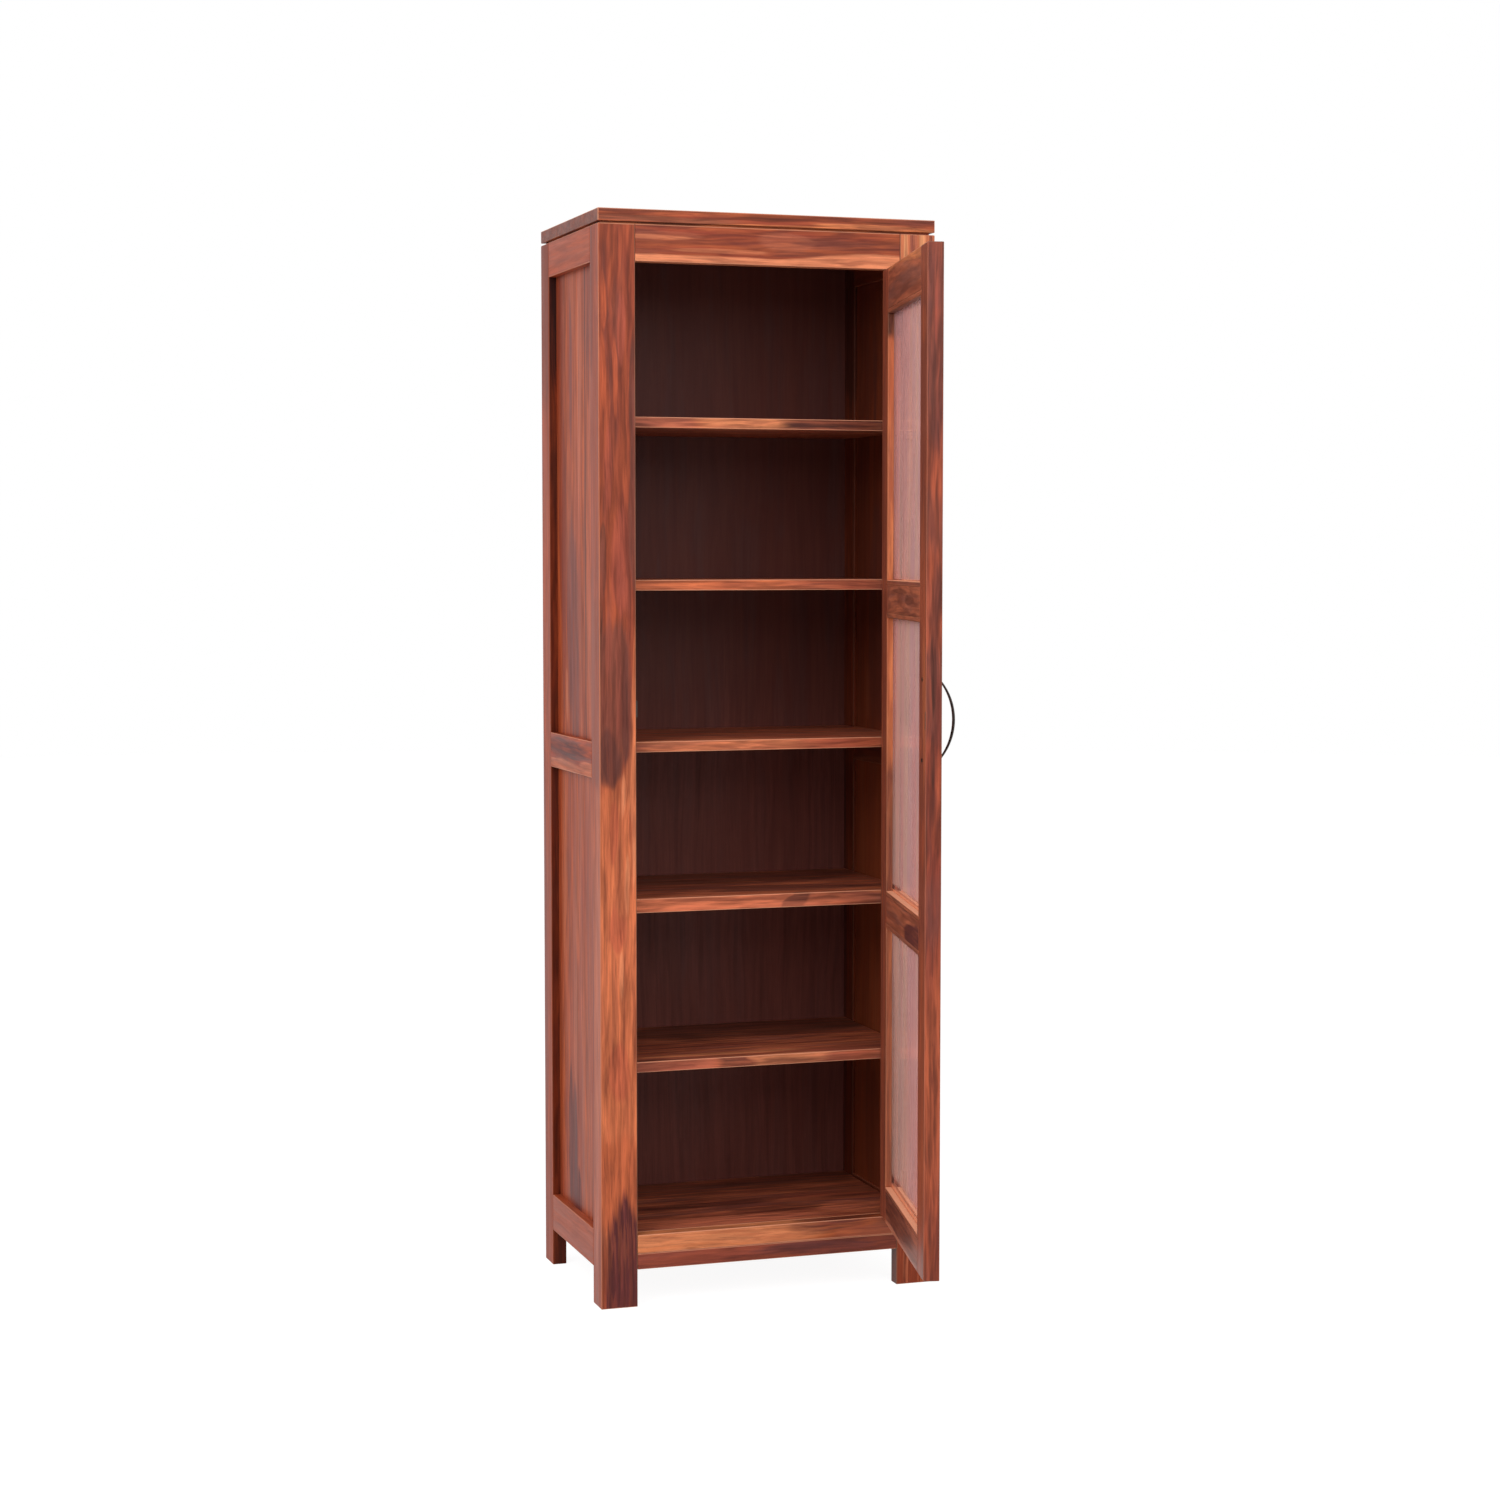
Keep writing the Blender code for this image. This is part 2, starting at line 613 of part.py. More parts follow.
def door_rail_spans():
    """Name, bottom and top of the four rails of the door."""
    lower, middle, upper = panes()
    return (
        ("door_bottom_rail", DOOR_LOW_Z, lower[1]),
        ("door_lower_rail", lower[2], middle[1]),
        ("door_upper_rail", middle[2], upper[1]),
        ("door_top_rail", upper[2], DOOR_HIGH_Z),
    )


def door_tenons(low_z, high_z):
    """Tenon boxes at the free end and the hinge end of a door rail."""
    low_y = DOOR_FRONT_Y + (FRONT_THICKNESS - TENON_THICKNESS) / 2
    high_y = low_y + TENON_THICKNESS
    low, high = low_z + DOOR_TENON_SHOULDER, high_z - DOOR_TENON_SHOULDER
    free = (
        (SIGHT_LEFT_X - DOOR_TENON_LENGTH, low_y, low),
        (SIGHT_LEFT_X + OVERRUN, high_y, high),
    )
    hinge = (
        (SIGHT_RIGHT_X - OVERRUN, low_y, low),
        (SIGHT_RIGHT_X + DOOR_TENON_LENGTH, high_y, high),
    )
    return free, hinge


def make_door_frame(door):
    """Two stiles and four rails, mortised together and rebated inside for the glass."""
    rebate_y = DOOR_FRONT_Y + GLASS_LIP
    past_y = DOOR_BACK_Y + OVERRUN
    stiles = []
    for index, name, low_x in (
        (0, "door_lock_stile", DOOR_FREE_X),
        (1, "door_hinge_stile", SIGHT_RIGHT_X),
    ):
        low = (low_x, DOOR_FRONT_Y, DOOR_LOW_Z)
        high = (low_x + DOOR_STILE_WIDTH, DOOR_BACK_Y, DOOR_HIGH_Z)
        stile = board(name, low, high, door, WOOD_DOOR)
        mortises = [grown(door_tenons(low_z, high_z)[index]) for _, low_z, high_z in door_rail_spans()]
        cut_boxes(stile, "mortises", mortises)
        sight = (SIGHT_LEFT_X, SIGHT_RIGHT_X)[index]
        outward = (-1, 1)[index]
        near, far = sorted((sight - outward * OVERRUN, sight + outward * GLASS_REBATE))
        rebates = [
            ((near, rebate_y, low_z - GLASS_REBATE), (far, past_y, high_z + GLASS_REBATE))
            for _, low_z, high_z in panes()
        ]
        cut_boxes(stile, "glass_rebates", rebates)
        stiles.append(stile)
    lock_stile, hinge_stile = stiles
    cut_boxes(lock_stile, "plate_recess", [grown(catch_plate_box())])
    cut_boxes(hinge_stile, "hinge_recesses", [grown(leaf_box(-1, height)) for _, height in hinge_heights()])
    low_x, high_x = SIGHT_LEFT_X + CLEARANCE, SIGHT_RIGHT_X - CLEARANCE
    for name, low_z, high_z in door_rail_spans():
        rail = board(name, (low_x, DOOR_FRONT_Y, low_z), (high_x, DOOR_BACK_Y, high_z), door, WOOD_DOOR)
        join_boxes(rail, "tenons", door_tenons(low_z, high_z))
        rebates = []
        if name != "door_top_rail":
            rebates.append((high_z - GLASS_REBATE, high_z + OVERRUN))
        if name != "door_bottom_rail":
            rebates.append((low_z - OVERRUN, low_z + GLASS_REBATE))
        past_x = CLEARANCE + OVERRUN
        cut_boxes(
            rail,
            "glass_rebates",
            [
                ((SIGHT_LEFT_X - past_x, rebate_y, low), (SIGHT_RIGHT_X + past_x, past_y, high))
                for low, high in rebates
            ],
        )


def make_glazing(door):
    """Each pane lies against the lip of its rebate, behind four mitred beads."""
    glass_y = DOOR_FRONT_Y + GLASS_LIP + CLEARANCE
    bead_y = glass_y + GLASS_THICKNESS + CLEARANCE
    lap = GLASS_REBATE - GLASS_PLAY
    bead = GLASS_REBATE - CLEARANCE
    for name, low_z, high_z in panes():
        low = (SIGHT_LEFT_X - lap, glass_y, low_z - lap)
        high = (SIGHT_RIGHT_X + lap, glass_y + GLASS_THICKNESS, high_z + lap)
        board(f"{name}_glass", low, high, door, GLASS, CLEARANCE)
        for position, inner, outer in (
            ("bottom", low_z, low_z - bead),
            ("top", high_z, high_z + bead),
        ):
            outline = [
                (SIGHT_LEFT_X - bead, outer),
                (SIGHT_RIGHT_X + bead, outer),
                (SIGHT_RIGHT_X, inner),
                (SIGHT_LEFT_X, inner),
            ]
            shape = flat_shape(outline, "Y", bead_y, DOOR_BACK_Y)
            strip = make_piece(f"{name}_bead_{position}", shape, door, WOOD_BEAD)
            ease_edges(strip, BEAD_EASE, 1)
        for position, inner, outer in (
            ("left", SIGHT_LEFT_X, SIGHT_LEFT_X - bead),
            ("right", SIGHT_RIGHT_X, SIGHT_RIGHT_X + bead),
        ):
            outline = [
                (outer, low_z - bead + MITRE_GAP),
                (inner, low_z + MITRE_GAP),
                (inner, high_z - MITRE_GAP),
                (outer, high_z + bead - MITRE_GAP),
            ]
            shape = flat_shape(outline, "Y", bead_y, DOOR_BACK_Y)
            strip = make_piece(f"{name}_bead_{position}", shape, door, WOOD_BEAD)
            ease_edges(strip, BEAD_EASE, 1)


def leaf_box(side, height):
    """The flat plate of a hinge leaf about the hinge axis: side 1 is the leg's leaf."""
    near, far = spread(side, HINGE_LEAF_GAP / 2, HINGE_LEAF_GAP / 2 + HINGE_LEAF_THICKNESS)
    low_y = HINGE_BARREL_RADIUS + HINGE_KNUCKLE_GAP
    half = (HINGE_HEIGHT - HINGE_KNUCKLE_GAP) / 2
    return (
        (near, low_y, height - half),
        (far, DOOR_FRONT_Y + HINGE_LEAF_WIDTH, height + half),
    )


def make_leaf(name, parent, side, height, axis):
    """A leaf: a plate with fingers, its share of the knuckles, the bore and screw holes."""
    (near, plate_y, low_z), (far, edge_y, high_z) = leaf_box(side, height)
    pitch = HINGE_HEIGHT / HINGE_KNUCKLES
    wall_y = (HINGE_BORE_RADIUS + HINGE_BARREL_RADIUS) / 2
    outline = [(plate_y, high_z), (edge_y, high_z), (edge_y, low_z), (plate_y, low_z)]
    barrels = bmesh.new()
    for knuckle in range(0 if side > 0 else 1, HINGE_KNUCKLES, 2):
        start_z = low_z + knuckle * pitch
        end_z = start_z + pitch - HINGE_KNUCKLE_GAP
        finger_low, finger_high = start_z + CLEARANCE, end_z - CLEARANCE
        outline += [
            (plate_y, finger_low),
            (wall_y, finger_low),
            (wall_y, finger_high),
            (plate_y, finger_high),
        ]
        start, end = axis + Vector((0, 0, start_z)), axis + Vector((0, 0, end_z))
        add_rod(barrels, start, end, HINGE_BARREL_RADIUS, HINGE_BARREL_RADIUS, BARREL_SIDES)
    shape = flat_shape(outline, "X", near, far)
    leaf = make_piece(name, shape, parent, HINGE_STEEL, axis)
    alter(leaf, "barrels", barrels, "UNION")
    holes = bmesh.new()
    start = axis + Vector((0, 0, low_z - OVERRUN))
    end = axis + Vector((0, 0, high_z + OVERRUN))
    add_rod(holes, start, end, HINGE_BORE_RADIUS, HINGE_BORE_RADIUS, BARREL_SIDES)
    screw_y = DOOR_FRONT_Y + HINGE_LEAF_WIDTH / 2
    for screw in range(HINGE_SCREWS):
        screw_z = height + (screw - (HINGE_SCREWS - 1) / 2) * HINGE_SCREW_SPACING
        start = axis + Vector((0, screw_y, screw_z))
        end = start + Vector((side * (HINGE_LEAF_THICKNESS + HINGE_LEAF_GAP), 0, 0))
        cone = HINGE_SCREW_HEAD_RADIUS, HINGE_SCREW_HOLE_RADIUS
        add_rod(holes, start, end, *cone, HOLE_SIDES)
    alter(leaf, "bore_and_screw_holes", holes, "DIFFERENCE")


def make_hinges(case, door, right_leg):
    """Three butt hinges, let into the leg's edge and the door's edge."""
    axis = Vector((HINGE_AXIS_X, HINGE_AXIS_Y, 0))
    recesses = []
    for word, height in hinge_heights():
        make_leaf(f"hinge_{word}_frame_leaf", case, 1, height, axis)
        make_leaf(f"hinge_{word}_door_leaf", door, -1, height, Vector())
        low, high = grown(leaf_box(1, height))
        recesses.append((Vector(low) + axis, Vector(high) + axis))
        top = height + HINGE_HEIGHT / 2
        pin = bmesh.new()
        foot = axis + Vector((0, 0, height - HINGE_HEIGHT / 2))
        neck = axis + Vector((0, 0, top + HINGE_PIN_HEAD))
        add_rod(pin, foot, neck, HINGE_PIN_RADIUS, HINGE_PIN_RADIUS, PIN_SIDES)
        piece = make_piece(f"hinge_{word}_pin", pin, case, HINGE_STEEL)
        head = bmesh.new()
        seat = axis + Vector((0, 0, top + CLEARANCE))
        cap = seat + Vector((0, 0, HINGE_PIN_HEAD))
        add_rod(head, seat, cap, HINGE_PIN_HEAD_RADIUS, HINGE_PIN_HEAD_RADIUS, BARREL_SIDES)
        alter(piece, "head", head, "UNION")
    cut_boxes(right_leg, "hinge_recesses", recesses)


def make_handle(door):
    """A thin bow that swells at the middle of its arc, on two round feet."""
    half = HANDLE_SPAN / 2
    radius = (half**2 + HANDLE_RISE**2) / (2 * HANDLE_RISE)
    low_point = HANDLE_FOOT_HEIGHT / 2
    sweep = math.acos((radius - HANDLE_RISE + low_point) / radius)
    centre_x = DOOR_FREE_X + DOOR_STILE_WIDTH / 2
    face_y = DOOR_FRONT_Y - CLEARANCE
    shape = bmesh.new()
    rings = []
    for step in range(HANDLE_STEPS + 1):
        share = 2 * step / HANDLE_STEPS - 1
        angle = share * sweep
        swell = math.cos(share * math.pi / 2)
        width = HANDLE_END_WIDTH + (HANDLE_WIDTH - HANDLE_END_WIDTH) * swell
        thickness = HANDLE_END_THICKNESS + (HANDLE_THICKNESS - HANDLE_END_THICKNESS) * swell
        rise = HANDLE_RISE - radius * (1 - math.cos(angle))
        outward = Vector((0, -math.cos(angle), math.sin(angle)))
        centre = Vector((centre_x, face_y - rise, HANDLE_CENTRE_HEIGHT + radius * math.sin(angle)))
        across = Vector((width / 2, 0, 0))
        through = outward * thickness / 2
        corner = HANDLE_CORNER_SHARE
        ring = []
        for wide_share, thick_share in (
            (-1, -corner),
            (-corner, -1),
            (corner, -1),
            (1, -corner),
            (1, corner),
            (corner, 1),
            (-corner, 1),
            (-1, corner),
        ):
            ring.append(shape.verts.new(centre + across * wide_share + through * thick_share))
        rings.append(ring)
    for first, second in zip(rings, rings[1:]):
        for index, _ in enumerate(first):
            following = (index + 1) % len(first)
            shape.faces.new((first[index], first[following], second[following], second[index]))
    shape.faces.new(rings[0])
    shape.faces.new(reversed(rings[-1]))
    handle = make_piece("door_handle", shape, door, HANDLE_METAL)
    feet = bmesh.new()
    for side in (-1, 1):
        height = HANDLE_CENTRE_HEIGHT + side * half
        start = (centre_x, face_y, height)
        end = (centre_x, face_y - HANDLE_FOOT_HEIGHT, height)
        add_rod(feet, start, end, HANDLE_FOOT_RADIUS, HANDLE_FOOT_RADIUS, FOOT_SIDES)
    alter(handle, "feet", feet, "UNION")


def make_bookcase():
    clear_scene()
    case = bpy.data.objects.new("case", None)
    case.location = (0, CASE_SHIFT_Y, 0)
    bpy.context.collection.objects.link(case)
    door = bpy.data.objects.new("door", None)
    door.parent = case
    door.location = (HINGE_AXIS_X, HINGE_AXIS_Y, 0)
    door.rotation_euler = (0, 0, DOOR_REST_ANGLE)
    bpy.context.collection.objects.link(door)

    make_top(case)
    make_front_leg(case, -1, "front_left_leg")
    right_leg = make_front_leg(case, 1, "front_right_leg")
    make_back_leg(case, -1, "back_left_leg")
    make_back_leg(case, 1, "back_right_leg")
    make_cross_rail(case, "front_top_rail", WOOD_FRAME)
    make_cross_rail(case, "front_sill", WOOD_FRAME)
    make_cross_rail(case, "front_bottom_rail", WOOD_DARK)
    make_cross_rail(case, "back_top_rail", WOOD_SIDE)
    make_cross_rail(case, "back_bottom_rail", WOOD_SIDE)
    make_side(case, -1, "left")
    make_side(case, 1, "right")
    make_back(case)
    make_shelves(case)
    make_catch(case)

    make_door_frame(door)
    make_glazing(door)
    low, high = catch_plate_box()
    board("catch_plate", low, high, door, CATCH_STEEL, CLEARANCE)
    make_handle(door)
    make_hinges(case, door, right_leg)
    bpy.context.view_layer.update()


make_bookcase()
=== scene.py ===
"""The looks of the bookcase: polished reddish hardwood, clear glass and dark metal."""

import json
import math

import bmesh
import bpy
from mathutils import Matrix, Vector


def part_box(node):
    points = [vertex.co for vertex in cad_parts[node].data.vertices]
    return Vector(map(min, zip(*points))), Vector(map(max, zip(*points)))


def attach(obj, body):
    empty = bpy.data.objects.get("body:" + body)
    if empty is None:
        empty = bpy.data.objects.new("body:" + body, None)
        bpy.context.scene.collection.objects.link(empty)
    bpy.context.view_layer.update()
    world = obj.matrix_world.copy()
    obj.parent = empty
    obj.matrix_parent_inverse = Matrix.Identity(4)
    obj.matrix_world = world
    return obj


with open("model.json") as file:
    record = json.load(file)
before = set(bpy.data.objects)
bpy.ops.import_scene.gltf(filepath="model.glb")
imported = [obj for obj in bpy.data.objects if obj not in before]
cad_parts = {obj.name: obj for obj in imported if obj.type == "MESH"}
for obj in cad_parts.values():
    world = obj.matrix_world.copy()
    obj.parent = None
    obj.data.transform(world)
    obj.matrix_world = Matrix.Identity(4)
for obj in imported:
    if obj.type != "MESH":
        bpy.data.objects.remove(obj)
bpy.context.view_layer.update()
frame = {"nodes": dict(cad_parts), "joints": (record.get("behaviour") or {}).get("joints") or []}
nodes = frame["nodes"]


# The view. The picture is taken from the front left with a long lens, a little above the
# middle rail of the side, so the shelves over that height show their undersides.
CAMERA_FROM_FRONT = Vector((-1.566, -4.594, 1.275))
CAMERA_TILT = math.radians(86.11)
CAMERA_TURN = math.radians(-18.433)
LENS_MM = 68.44

case_front = Vector((0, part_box("front_left_leg")[0].y, 0))
camera = bpy.data.objects.new("camera", bpy.data.cameras.new("camera"))
camera.location = case_front + CAMERA_FROM_FRONT
camera.rotation_euler = (CAMERA_TILT, 0, CAMERA_TURN)
camera.data.lens = LENS_MM
bpy.context.collection.objects.link(camera)
bpy.context.scene.camera = camera


# Top board: one wide board with the grain running across the case. Its front edge shows
# red-brown wood over a lighter, wavy lower half, with a painted highlight along its lower
# edge. All the timber is planed, stained lightly and rubbed with a satin polish, and its sharp
# edges are sanded round and painted paler, partly as wear and partly as a painted highlight.
def tone(red, green, blue):
    """A colour from its eight-bit screen values."""
    parts = [value / 255 for value in (red, green, blue)]
    return (*[((v + 0.055) / 1.055) ** 2.4 if v > 0.04045 else v / 12.92 for v in parts], 1)


def place_node(tree, kind, inputs=(), **settings):
    """A shader node with its settings, and its inputs set or linked."""
    node = tree.nodes.new("ShaderNode" + kind)
    for key, value in settings.items():
        setattr(node, key, value)
    for key, value in dict(inputs).items():
        if isinstance(value, bpy.types.NodeSocket):
            tree.links.new(value, node.inputs[key])
        else:
            node.inputs[key].default_value = value
    return node


def reckon(tree, operation, first, second=0.0, third=0.0):
    """One step of arithmetic on numbers in the shader."""
    inputs = {0: first, 1: second, 2: third}
    return place_node(tree, "Math", inputs, operation=operation).outputs[0]


def reckon_places(tree, operation, first, second, third=(0, 0, 0)):
    """One step of arithmetic on places in the shader."""
    inputs = {0: first, 1: second, 2: third}
    return place_node(tree, "VectorMath", inputs, operation=operation).outputs[0]


def fade(tree, value, start, end, low=0.0, high=1.0):
    """The value read between start and end, eased at both ends."""
    inputs = {"Value": value, "From Min": start, "From Max": end, "To Min": low, "To Max": high}
    return place_node(tree, "MapRange", inputs, interpolation_type="SMOOTHSTEP").outputs[0]


def blend(tree, share, first, second):
    """The first colour with a share of the second one over it."""
    inputs = {0: share, 6: first, 7: second}
    return place_node(tree, "Mix", inputs, data_type="RGBA").outputs[2]


def noise(tree, place, stretch, detail, seed, roughness=0.5):
    """Soft noise with its own scale along, across and through the grain."""
    inputs = {"Vector": place, "Location": (seed, seed * 1.7, seed * 2.3), "Scale": stretch}
    shifted = place_node(tree, "Mapping", inputs).outputs[0]
    inputs = {"Vector": shifted, "Scale": 1.0, "Detail": detail, "Roughness": roughness}
    return place_node(tree, "TexNoise", inputs)


def three_noises(tree, place, stretch, seed):
    """Three patterns of noise at one scale that don't follow each other."""
    pattern = noise(tree, place, stretch, 3, seed, 0.6)
    return place_node(tree, "SeparateXYZ", {0: pattern.outputs["Color"]}).outputs


def board_box(name, turn):
    """A piece's middle in the row frame, and its half sizes in its own frame."""
    back = Matrix.Rotation(-turn, 3, "Z")
    places = [back @ corner.co for corner in nodes[name].data.vertices]
    low, high = (Vector(map(pick, *places)) for pick in (min, max))
    return back.transposed() @ ((low + high) / 2), (high - low) / 2


# A scale is in waves to a metre along, across and through the grain. A span is the part of a
# noise, which runs from 0 to 1, over which a colour comes in. A share is how strong it gets.
SWAY_SCALE = (2.6, 12, 12)
SWAY_REACH = (0.14, 0.030, 0.030)


def swaying_grain(tree, grain, seed):
    """The place in the wood, pushed about so that the grain wanders."""
    sway = noise(tree, grain, SWAY_SCALE, 3, seed)
    centred = reckon_places(tree, "SUBTRACT", sway.outputs["Color"], (0.5, 0.5, 0.5))
    return reckon_places(tree, "MULTIPLY_ADD", centred, SWAY_REACH, grain)


RING_SPACING_SCALE = (1.3, 20, 20)
RING_SPACING_TURNS = 4.2


def growth_rings(tree, grain, warped, seed, pith, tilt, ring_width):
    """A wave for each growth ring, about a pith that lies off the board and leans along it."""
    parts = place_node(tree, "SeparateXYZ", {0: warped}).outputs
    side = reckon(tree, "SUBTRACT", parts[1], pith[0])
    deep = reckon(tree, "SUBTRACT", reckon(tree, "MULTIPLY_ADD", parts[0], tilt, parts[2]), pith[1])
    squares = reckon(tree, "MULTIPLY_ADD", side, side, reckon(tree, "MULTIPLY", deep, deep))
    turns = reckon(tree, "DIVIDE", reckon(tree, "SQRT", squares), ring_width)
    spacing = noise(tree, grain, RING_SPACING_SCALE, 3, seed + 4).outputs[0]
    turns = reckon(tree, "MULTIPLY_ADD", spacing, RING_SPACING_TURNS, turns)
    return reckon(tree, "SINE", reckon(tree, "MULTIPLY", turns, 2 * math.pi))


def nearest_oval(tree, warped, ovals):
    """How far off the nearest oval is, in half sizes of that oval."""
    nearest = None
    for oval_along, oval_across, half_long, half_wide, *depth in ovals:
        oval_through, half_deep = depth or (0, 1)
        inputs = {
            "Vector": warped,
            "Location": (oval_along, oval_across, oval_through),
            "Scale": (half_long, half_wide, half_deep),
        }
        inside = place_node(tree, "Mapping", inputs, vector_type="TEXTURE").outputs[0]
        reach = place_node(tree, "VectorMath", {0: inside}, operation="LENGTH").outputs["Value"]
        nearest = reach if nearest is None else reckon(tree, "MINIMUM", nearest, reach)
    return nearest


ARRIS_WIDTH = 0.0012
ARRIS_UNEVEN = 0.0012


def worn_and_highlit_arrises(tree, axes, half, fleck, wear_and_highlight):
    """How far the edges of a board are pale, rubbed and with a painted highlight.

    The second nearest of its three pairs of faces tells how far off an edge is.
    """
    gaps = []
    for axis, size in zip("XYZ", half):
        gaps.append(reckon(tree, "SUBTRACT", size, reckon(tree, "ABSOLUTE", axes[axis])))
    nearer = reckon(tree, "MINIMUM", gaps[0], gaps[1])
    farther = reckon(tree, "MAXIMUM", gaps[0], gaps[1])
    second = reckon(tree, "MAXIMUM", nearer, reckon(tree, "MINIMUM", farther, gaps[2]))
    edge_reach = reckon(tree, "MULTIPLY_ADD", fleck, ARRIS_UNEVEN, second)
    return fade(tree, edge_reach, ARRIS_WIDTH + ARRIS_UNEVEN, ARRIS_WIDTH, 0.0, wear_and_highlight)


LIGHT_WOOD = tone(192, 100, 54)
RED_WOOD = tone(146, 62, 38)
BROWN_WOOD = tone(96, 42, 28)
MAUVE_WOOD = tone(118, 66, 56)
HEART_WOOD = tone(84, 36, 30)
PALE_WOOD = tone(218, 130, 82)
ARRIS_WEAR_AND_HIGHLIGHT = tone(224, 152, 118)
PAINTED_SHADE = tone(46, 18, 12)
WARM_TONES = (LIGHT_WOOD, RED_WOOD, BROWN_WOOD, MAUVE_WOOD)

BLOTCH_SCALE = (3.4, 28, 28)
FLECKS_ACROSS = 90
BAND_SCALE = (0.9, 46, 46)
STREAK_SCALE = (5, 300, 300)
LINE_SCALE = (7, 140, 140)
PORE_LENGTH = 0.012
PORE_WIDTH = 0.0005
PORE_SCALE = (1 / PORE_LENGTH, 1 / PORE_WIDTH, 1 / PORE_WIDTH)

BLOTCH_PART, FLECK_PART, BAND_PART = 0.42, 0.33, 0.25
LIGHT_SPAN = 0.075
MAUVE_SPAN, MAUVE_SHARE = (0.50, 0.64), 0.6
RING_FADING_SPAN, FAINTEST_RING = (0.38, 0.62), 0.2
LIGHT_FLECK_SPAN, LIGHT_FLECK_SHARE = (0.50, 0.70), 0.5
FIGURE_SPAN = (1.88, 1.54)
FIGURE_GAPS_SPAN, FIGURE_LEAST = (0.85, 1.15), 0.55
RAGGED_BANDS, RAGGED_FLECKS, RAGGED_STREAKS = 0.6, 0.4, 0.4
DARK_FLECK_SPAN, DARK_FLECK_SHARE = (0.46, 0.70), 0.5
STREAK_SPAN, STREAK_SHARE = (0.48, 0.68), 0.35
PORE_SPAN, PORE_SHARE = (0.66, 0.76), 0.35
LINE_SPAN = (0.36, 0.64)
SEAM_REACH, SEAM_SHARE = (0.0046, 0.0014), 0.85
SAWN_DEPTHS, SAWN_SHARE = (0.0018, 0.0006), 0.62
STAIN_DEPTHS = (0.0018, 0.0005)
SHEEN_SPAN, SHEEN_ROUGHNESS = (0.3, 0.7), (0.36, 0.48)
PORE_ROUGHNESS = 0.15
PORE_DEPTH = -0.7
RELIEF = 0.0005
RELIEF_SHARE = 0.25


def timber(
    name,
    order,
    seed,
    tones=WARM_TONES,
    pith=(0.03, -0.09),
    tilt=0.05,
    ring_width=0.012,
    ring_depth=0.5,
    balance=0.5,
    fleck_length=0.12,
    figures=(),
    seams=(),
    stains_and_painted_light=(),
    wear_and_highlight=0.6,
    line_depth=0.12,
    polish=0.16,
    turn=0.0,
):
    """Polished solid wood on one piece. order names the axes along, across and through.

    tones are its light, middle, dark and mauve wood, and balance says how much is middle.
    figures are groups of ovals of another colour: (colour, strength, ovals), where an oval
    is its place along and across the piece from its middle, its half sizes, and, where it
    doesn't go right through the wood, its place and half size through the piece. seams are
    glued joints at places across the piece. stains_and_painted_light are faces with a colour
    of their own, each a stain, painted shade or a painted highlight: (axis, direction, colour,
    strength). wear_and_highlight is how pale the edges are, from wear and a painted highlight,
    line_depth how much the fine lines lighten and darken the wood, polish how strong its shine
    is, and turn the angle at which the piece stands about the upright.
    """
    light, middle, dark, mauve = tones
    centre, half = board_box(name, turn)
    material = bpy.data.materials.new(name + "_timber")
    material.use_nodes = True
    tree = material.node_tree
    shader = tree.nodes["Principled BSDF"]
    place = place_node(tree, "TexCoord").outputs["Object"]
    inputs = {"Vector": place, "Location": centre, "Rotation": (0, 0, turn)}
    own = place_node(tree, "Mapping", inputs, vector_type="TEXTURE").outputs[0]
    axes = place_node(tree, "SeparateXYZ", {0: own}).outputs
    along, across, through = (axes[axis.upper()] for axis in order)
    grain = place_node(tree, "CombineXYZ", {0: along, 1: across, 2: through}).outputs[0]

    warped = swaying_grain(tree, grain, seed)
    wave = growth_rings(tree, grain, warped, seed, pith, tilt, ring_width)
    blotch = three_noises(tree, warped, BLOTCH_SCALE, seed + 7)
    fleck_scale = (1 / fleck_length, FLECKS_ACROSS, FLECKS_ACROSS)
    fleck = three_noises(tree, warped, fleck_scale, seed + 21)
    bands = noise(tree, warped, BAND_SCALE, 4, seed + 9, 0.6).outputs[0]
    streaks = noise(tree, warped, STREAK_SCALE, 3, seed + 13, 0.65).outputs[0]
    lines = noise(tree, warped, LINE_SCALE, 2, seed + 31, 0.6).outputs[0]
    pores = noise(tree, grain, PORE_SCALE, 1, seed).outputs[0]
    dots = fade(tree, pores, *PORE_SPAN)

    # the wood's four tones, and its rings
    mixed = reckon(tree, "MULTIPLY", bands, BAND_PART)
    mixed = reckon(tree, "MULTIPLY_ADD", blotch[0], BLOTCH_PART, mixed)
    mixed = reckon(tree, "MULTIPLY_ADD", fleck[0], FLECK_PART, mixed)
    light_share = fade(tree, mixed, balance - LIGHT_SPAN, balance + LIGHT_SPAN)
    colour = blend(tree, light_share, middle, light)
    colour = blend(tree, fade(tree, blotch[1], *MAUVE_SPAN, 0.0, MAUVE_SHARE), colour, mauve)
    fading = fade(tree, bands, *RING_FADING_SPAN, FAINTEST_RING * ring_depth, ring_depth)
    rings = reckon(tree, "MULTIPLY", fade(tree, wave, 0.0, 1.0), fading)
    colour = blend(tree, rings, colour, dark)
    light_flecks = fade(tree, fleck[2], *LIGHT_FLECK_SPAN, 0.0, LIGHT_FLECK_SHARE)
    colour = blend(tree, light_flecks, colour, light)

    # the piece's own figures, with ragged edges
    gaps = reckon(tree, "ADD", streaks, fleck[2])
    uneven = fade(tree, gaps, *FIGURE_GAPS_SPAN, FIGURE_LEAST, 1.0)
    for figure_colour, strength, ovals in figures:
        ragged = nearest_oval(tree, warped, ovals)
        ragged = reckon(tree, "MULTIPLY_ADD", bands, RAGGED_BANDS, ragged)
        ragged = reckon(tree, "MULTIPLY_ADD", fleck[0], RAGGED_FLECKS, ragged)
        ragged = reckon(tree, "MULTIPLY_ADD", streaks, RAGGED_STREAKS, ragged)
        share = reckon(tree, "MULTIPLY", fade(tree, ragged, *FIGURE_SPAN, 0.0, strength), uneven)
        colour = blend(tree, share, colour, figure_colour)

